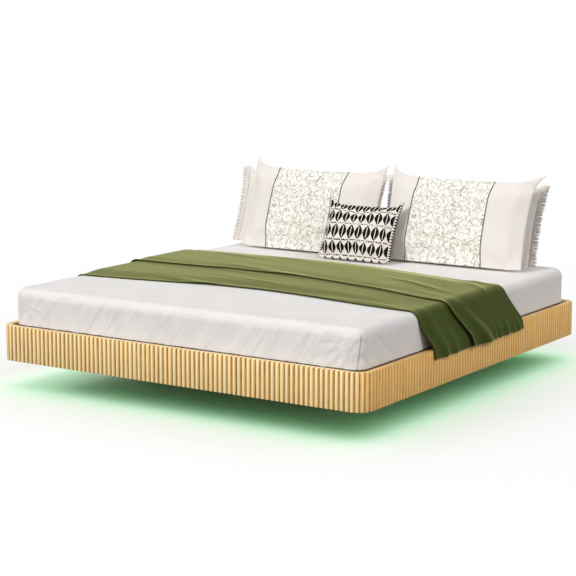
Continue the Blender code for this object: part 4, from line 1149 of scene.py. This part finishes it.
def tapestry():
    """Black and cream tapestry: rows of split, pointed ovals between broken lines, with zigzag side edges."""
    finish = Finish("tapestry", 0.9)
    flat = finish.flat()
    x, z, _ = flat.moved("SNAP", (WOOL_THREAD,) * 3).split()
    beside = x.off_middle(OVAL_PITCH) * OVAL_PITCH
    above = (ACCENT_HEIGHT - FIRST_LINE - z).off_middle(ROW_PITCH) * ROW_PITCH
    oval = beside < (1.0 - (above / OVAL_HALF_HEIGHT) ** 1.7) * OVAL_HALF_WIDTH
    slit = (beside < OVAL_SLIT) * (above < OVAL_HALF_HEIGHT * 0.72)
    dash = (ROW_PITCH / 2 - above < DASH_HALF_HEIGHT) * (beside > DASH_GAP)
    dash = dash * flat.noise(110, 2).between(0.38, 0.52)
    black = oval.maths("SUBTRACT", slit, clamp=True).maths("MAXIMUM", dash)
    outer = abs(x) - TRIM_START
    trim = outer > z.off_middle(TRIM_PITCH) * (TRIM_DEPTH * 2)
    black = (outer > 0.0).between(0.0, 1.0, black, trim)
    wool = flat.noise(700, 3, 0.6)
    dark = wool.between(0.35, 0.7, 0.0, 0.5).mix(WOOL_BLACK, WOOL_GREY)
    dark = (dash * 0.7).mix(dark, WOOL_BROWN)
    pale = wool.between(0.35, 0.7, 0.35, 0.0).mix(WOOL_CREAM, LINEN_SHADE)
    raised = black * 1.5 + finish.flat().weave(WOOL_THREAD)
    normal = raised.bump(0.5, 0.0008, wool.bump(0.4, 0.0006))
    return finish.look(black.mix(pale, dark), normal, **{"Specular IOR Level": 0.15})


# Hidden parts keep their CAD shapes and get materials of their own

def black_paint():
    """Matt black paint brushed on timber."""
    finish = Finish("black_paint", 0.6)
    strokes = finish.place((0.05, 0.05, 1)).noise(260, 3, 0.6)
    colour = strokes.mix((0.006, 0.006, 0.006), (0.020, 0.019, 0.018))
    return finish.look(colour, strokes.bump(0.3, 0.0005), Roughness=strokes.between(0.3, 0.7, 0.5, 0.72))


def zinc_plate():
    """Zinc-plated steel: cloudy, with a thread above the pad."""
    finish = Finish("zinc_plate", 0.35, 1.0)
    cloudy = finish.place().noise(90, 4, 0.6)
    _, _, z = finish.place().split()
    thread = (z * (2 * math.pi / THREAD_PITCH)).maths("SINE") * (z > PAD_TOP)
    colour = cloudy.ramp((0.35, (0.46, 0.47, 0.49)), (0.65, (0.62, 0.63, 0.65)))
    return finish.look(colour, thread.bump(0.8, 0.0006), Roughness=cloudy.between(0.3, 0.7, 0.28, 0.46))


def lit_silicone():
    """Milky silicone of a light strip, glowing mint green."""
    finish = Finish("lit_silicone", 0.45)
    milky = finish.place().noise(120, 3)
    colour = milky.ramp((0.3, (0.30, 0.72, 0.42)), (0.7, (0.42, 0.86, 0.52)))
    glow = {"Emission Color": GLOW_COLOUR, "Emission Strength": GLOW_STRENGTH}
    return finish.look(colour, milky.bump(0.2, 0.0005), **glow)


def moulded_plastic(name, colour, grain):
    """Moulded plastic with a fine spark-eroded grain."""
    finish = Finish(name, 0.5)
    fine = finish.place().noise(2600, 2, 0.5)
    lighter = tuple(channel * 1.25 + 0.004 for channel in colour)
    cloudy = finish.place().noise(40, 3).mix(colour, lighter)
    return finish.look(cloudy, fine.bump(grain, 0.0002), Roughness=fine.between(0.3, 0.7, 0.42, 0.6))


def circuit_board():
    """Green solder mask with copper tracks and pads under it."""
    finish = Finish("circuit_board", 0.35)
    _, y, z = finish.place().split()
    place = finish.vector(y, z)
    tracks = finish.add("TexBrick", {
        "Vector": place, "Scale": 1.0, "Mortar Size": 0.0004, "Brick Width": 0.007, "Row Height": 0.0021,
    })["Fac"]
    pads = finish.add("TexVoronoi", {"Vector": place, "Scale": 260.0}, voronoi_dimensions="2D")["Distance"] < 0.22
    mask = tracks.mix((0.010, 0.075, 0.030), (0.030, 0.165, 0.070))
    return finish.look(pads.mix(mask, (0.62, 0.58, 0.50)), tracks.maths("MAXIMUM", pads).bump(0.4, 0.0002))


def dress_nodes():
    """Materials for the CAD nodes that show as they are, by the start of their names."""
    starts = {
        sawn_pine("x"): ("ledger_front", "ledger_rear", "cross_joist", "slat"),
        sawn_pine("y"): ("ledger_left", "ledger_right", "bearer"),
        sawn_pine("z"): ("plinth_block",),
        black_paint(): ("plinth_front", "plinth_rear", "plinth_left", "plinth_right"),
        zinc_plate(): ("levelling_foot",),
        lit_silicone(): ("light_strip",),
        moulded_plastic("black_plastic", (0.018, 0.018, 0.019), 0.3): ("controller_base", "controller_cover"),
        moulded_plastic("grey_plastic", (0.17, 0.175, 0.18), 0.2): ("power_inlet", "controller_button"),
        circuit_board(): ("controller_board",),
    }
    for finish, names in starts.items():
        for name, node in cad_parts.items():
            if name.startswith(names):
                for place in node.material_slots:
                    place.material = finish.material


# Stage, light and camera

def make_stage():
    """A white floor that throws little light back up at the bed."""
    corners = [(x * FLOOR_HALF, y * FLOOR_HALF, 0) for x, y in ((-1, -1), (1, -1), (1, 1), (-1, 1))]
    floor = mesh_object("floor", corners, [(0, 1, 2, 3)])
    finish = Finish("floor", 0.9)
    colour = finish.seen().mix((FLOOR_BOUNCE,) * 3, WHITE)
    finish.fill(finish.shader, {"Base Color": colour, "Specular IOR Level": 0.0})
    floor.data.materials.append(finish.material)
    return floor


def add_lamp(name, kind, **settings):
    lamp = bpy.data.lights.new(name, kind)
    for key, value in settings.items():
        setattr(lamp, key, value)
    holder = bpy.data.objects.new(name, lamp)
    bpy.context.scene.collection.objects.link(holder)
    return holder


def make_light(floor):
    """Lamps on the bed from three sides, one from above on the floor alone, the glow, and an even dome."""
    for name, (direction, share, angle) in LAMPS.items():
        holder = add_lamp(name, "SUN", energy=share * math.pi, angle=math.radians(angle))
        holder.rotation_euler = Vector(direction).to_track_quat("Z", "Y").to_euler()
        lit = bpy.data.collections.new(f"{name}_lights")
        lit.objects.link(floor)
        lit.collection_objects[0].light_linking.link_state = "INCLUDE" if name == "overhead" else "EXCLUDE"
        holder.light_linking.receiver_collection = lit
    for edge, (width, inset, strength, colour) in GLOW_BANDS.items():
        x, y = SIDES.get(edge, 0), ENDS.get(edge, 0)
        length = (HALF_Y if x else HALF_X) * 2 - inset
        energy = strength * GLOW_SHARE * math.pi * length * width
        holder = add_lamp(
            f"glow_{edge}", "AREA", shape="RECTANGLE", size=length, size_y=width, energy=energy, color=colour
        )
        holder.location = (x * (HALF_X - inset), y * (HALF_Y - inset), GLOW_HEIGHT)
        holder.rotation_euler = (0, 0, math.pi / 2 if x else 0)
        holder.visible_camera = holder.visible_glossy = False
    world = bpy.data.worlds.new("studio")
    world.use_nodes = True
    nodes = Nodes(world.node_tree)
    fill = nodes.fill(nodes.tree.nodes["Background"], {"Color": WHITE, "Strength": FILL_SHARE})["Background"]
    paper = nodes.add("Background", {"Color": WHITE, "Strength": 1.0})["Background"]
    choice = nodes.add("MixShader", {"Fac": nodes.seen(), 1: fill, 2: paper})["Shader"]
    nodes.fill(nodes.tree.nodes["World Output"], {"Surface": choice})
    bpy.context.scene.world = world


def make_camera():
    camera = bpy.data.cameras.new("camera")
    camera.lens = CAMERA_LENS
    camera.sensor_width = CAMERA_SENSOR
    camera.clip_end = 100.0
    right = Vector((math.cos(CAMERA_AZIMUTH), math.sin(CAMERA_AZIMUTH), 0))
    level = math.cos(CAMERA_ELEVATION)
    back = Vector((right.y * level, -right.x * level, math.sin(CAMERA_ELEVATION)))
    turned = Matrix((right, back.cross(right), back)).transposed().to_4x4()
    holder = bpy.data.objects.new("camera", camera)
    holder.matrix_world = Matrix.Translation(CAMERA_PLACE) @ turned
    bpy.context.scene.collection.objects.link(holder)
    bpy.context.scene.camera = holder
    bpy.context.scene.view_settings.view_transform = "Standard"


make_camera()
make_reeded_frame()
make_mattress()
make_fitted_sheet()
make_throw()
make_bedding_cushions()
dress_nodes()
make_light(make_stage())
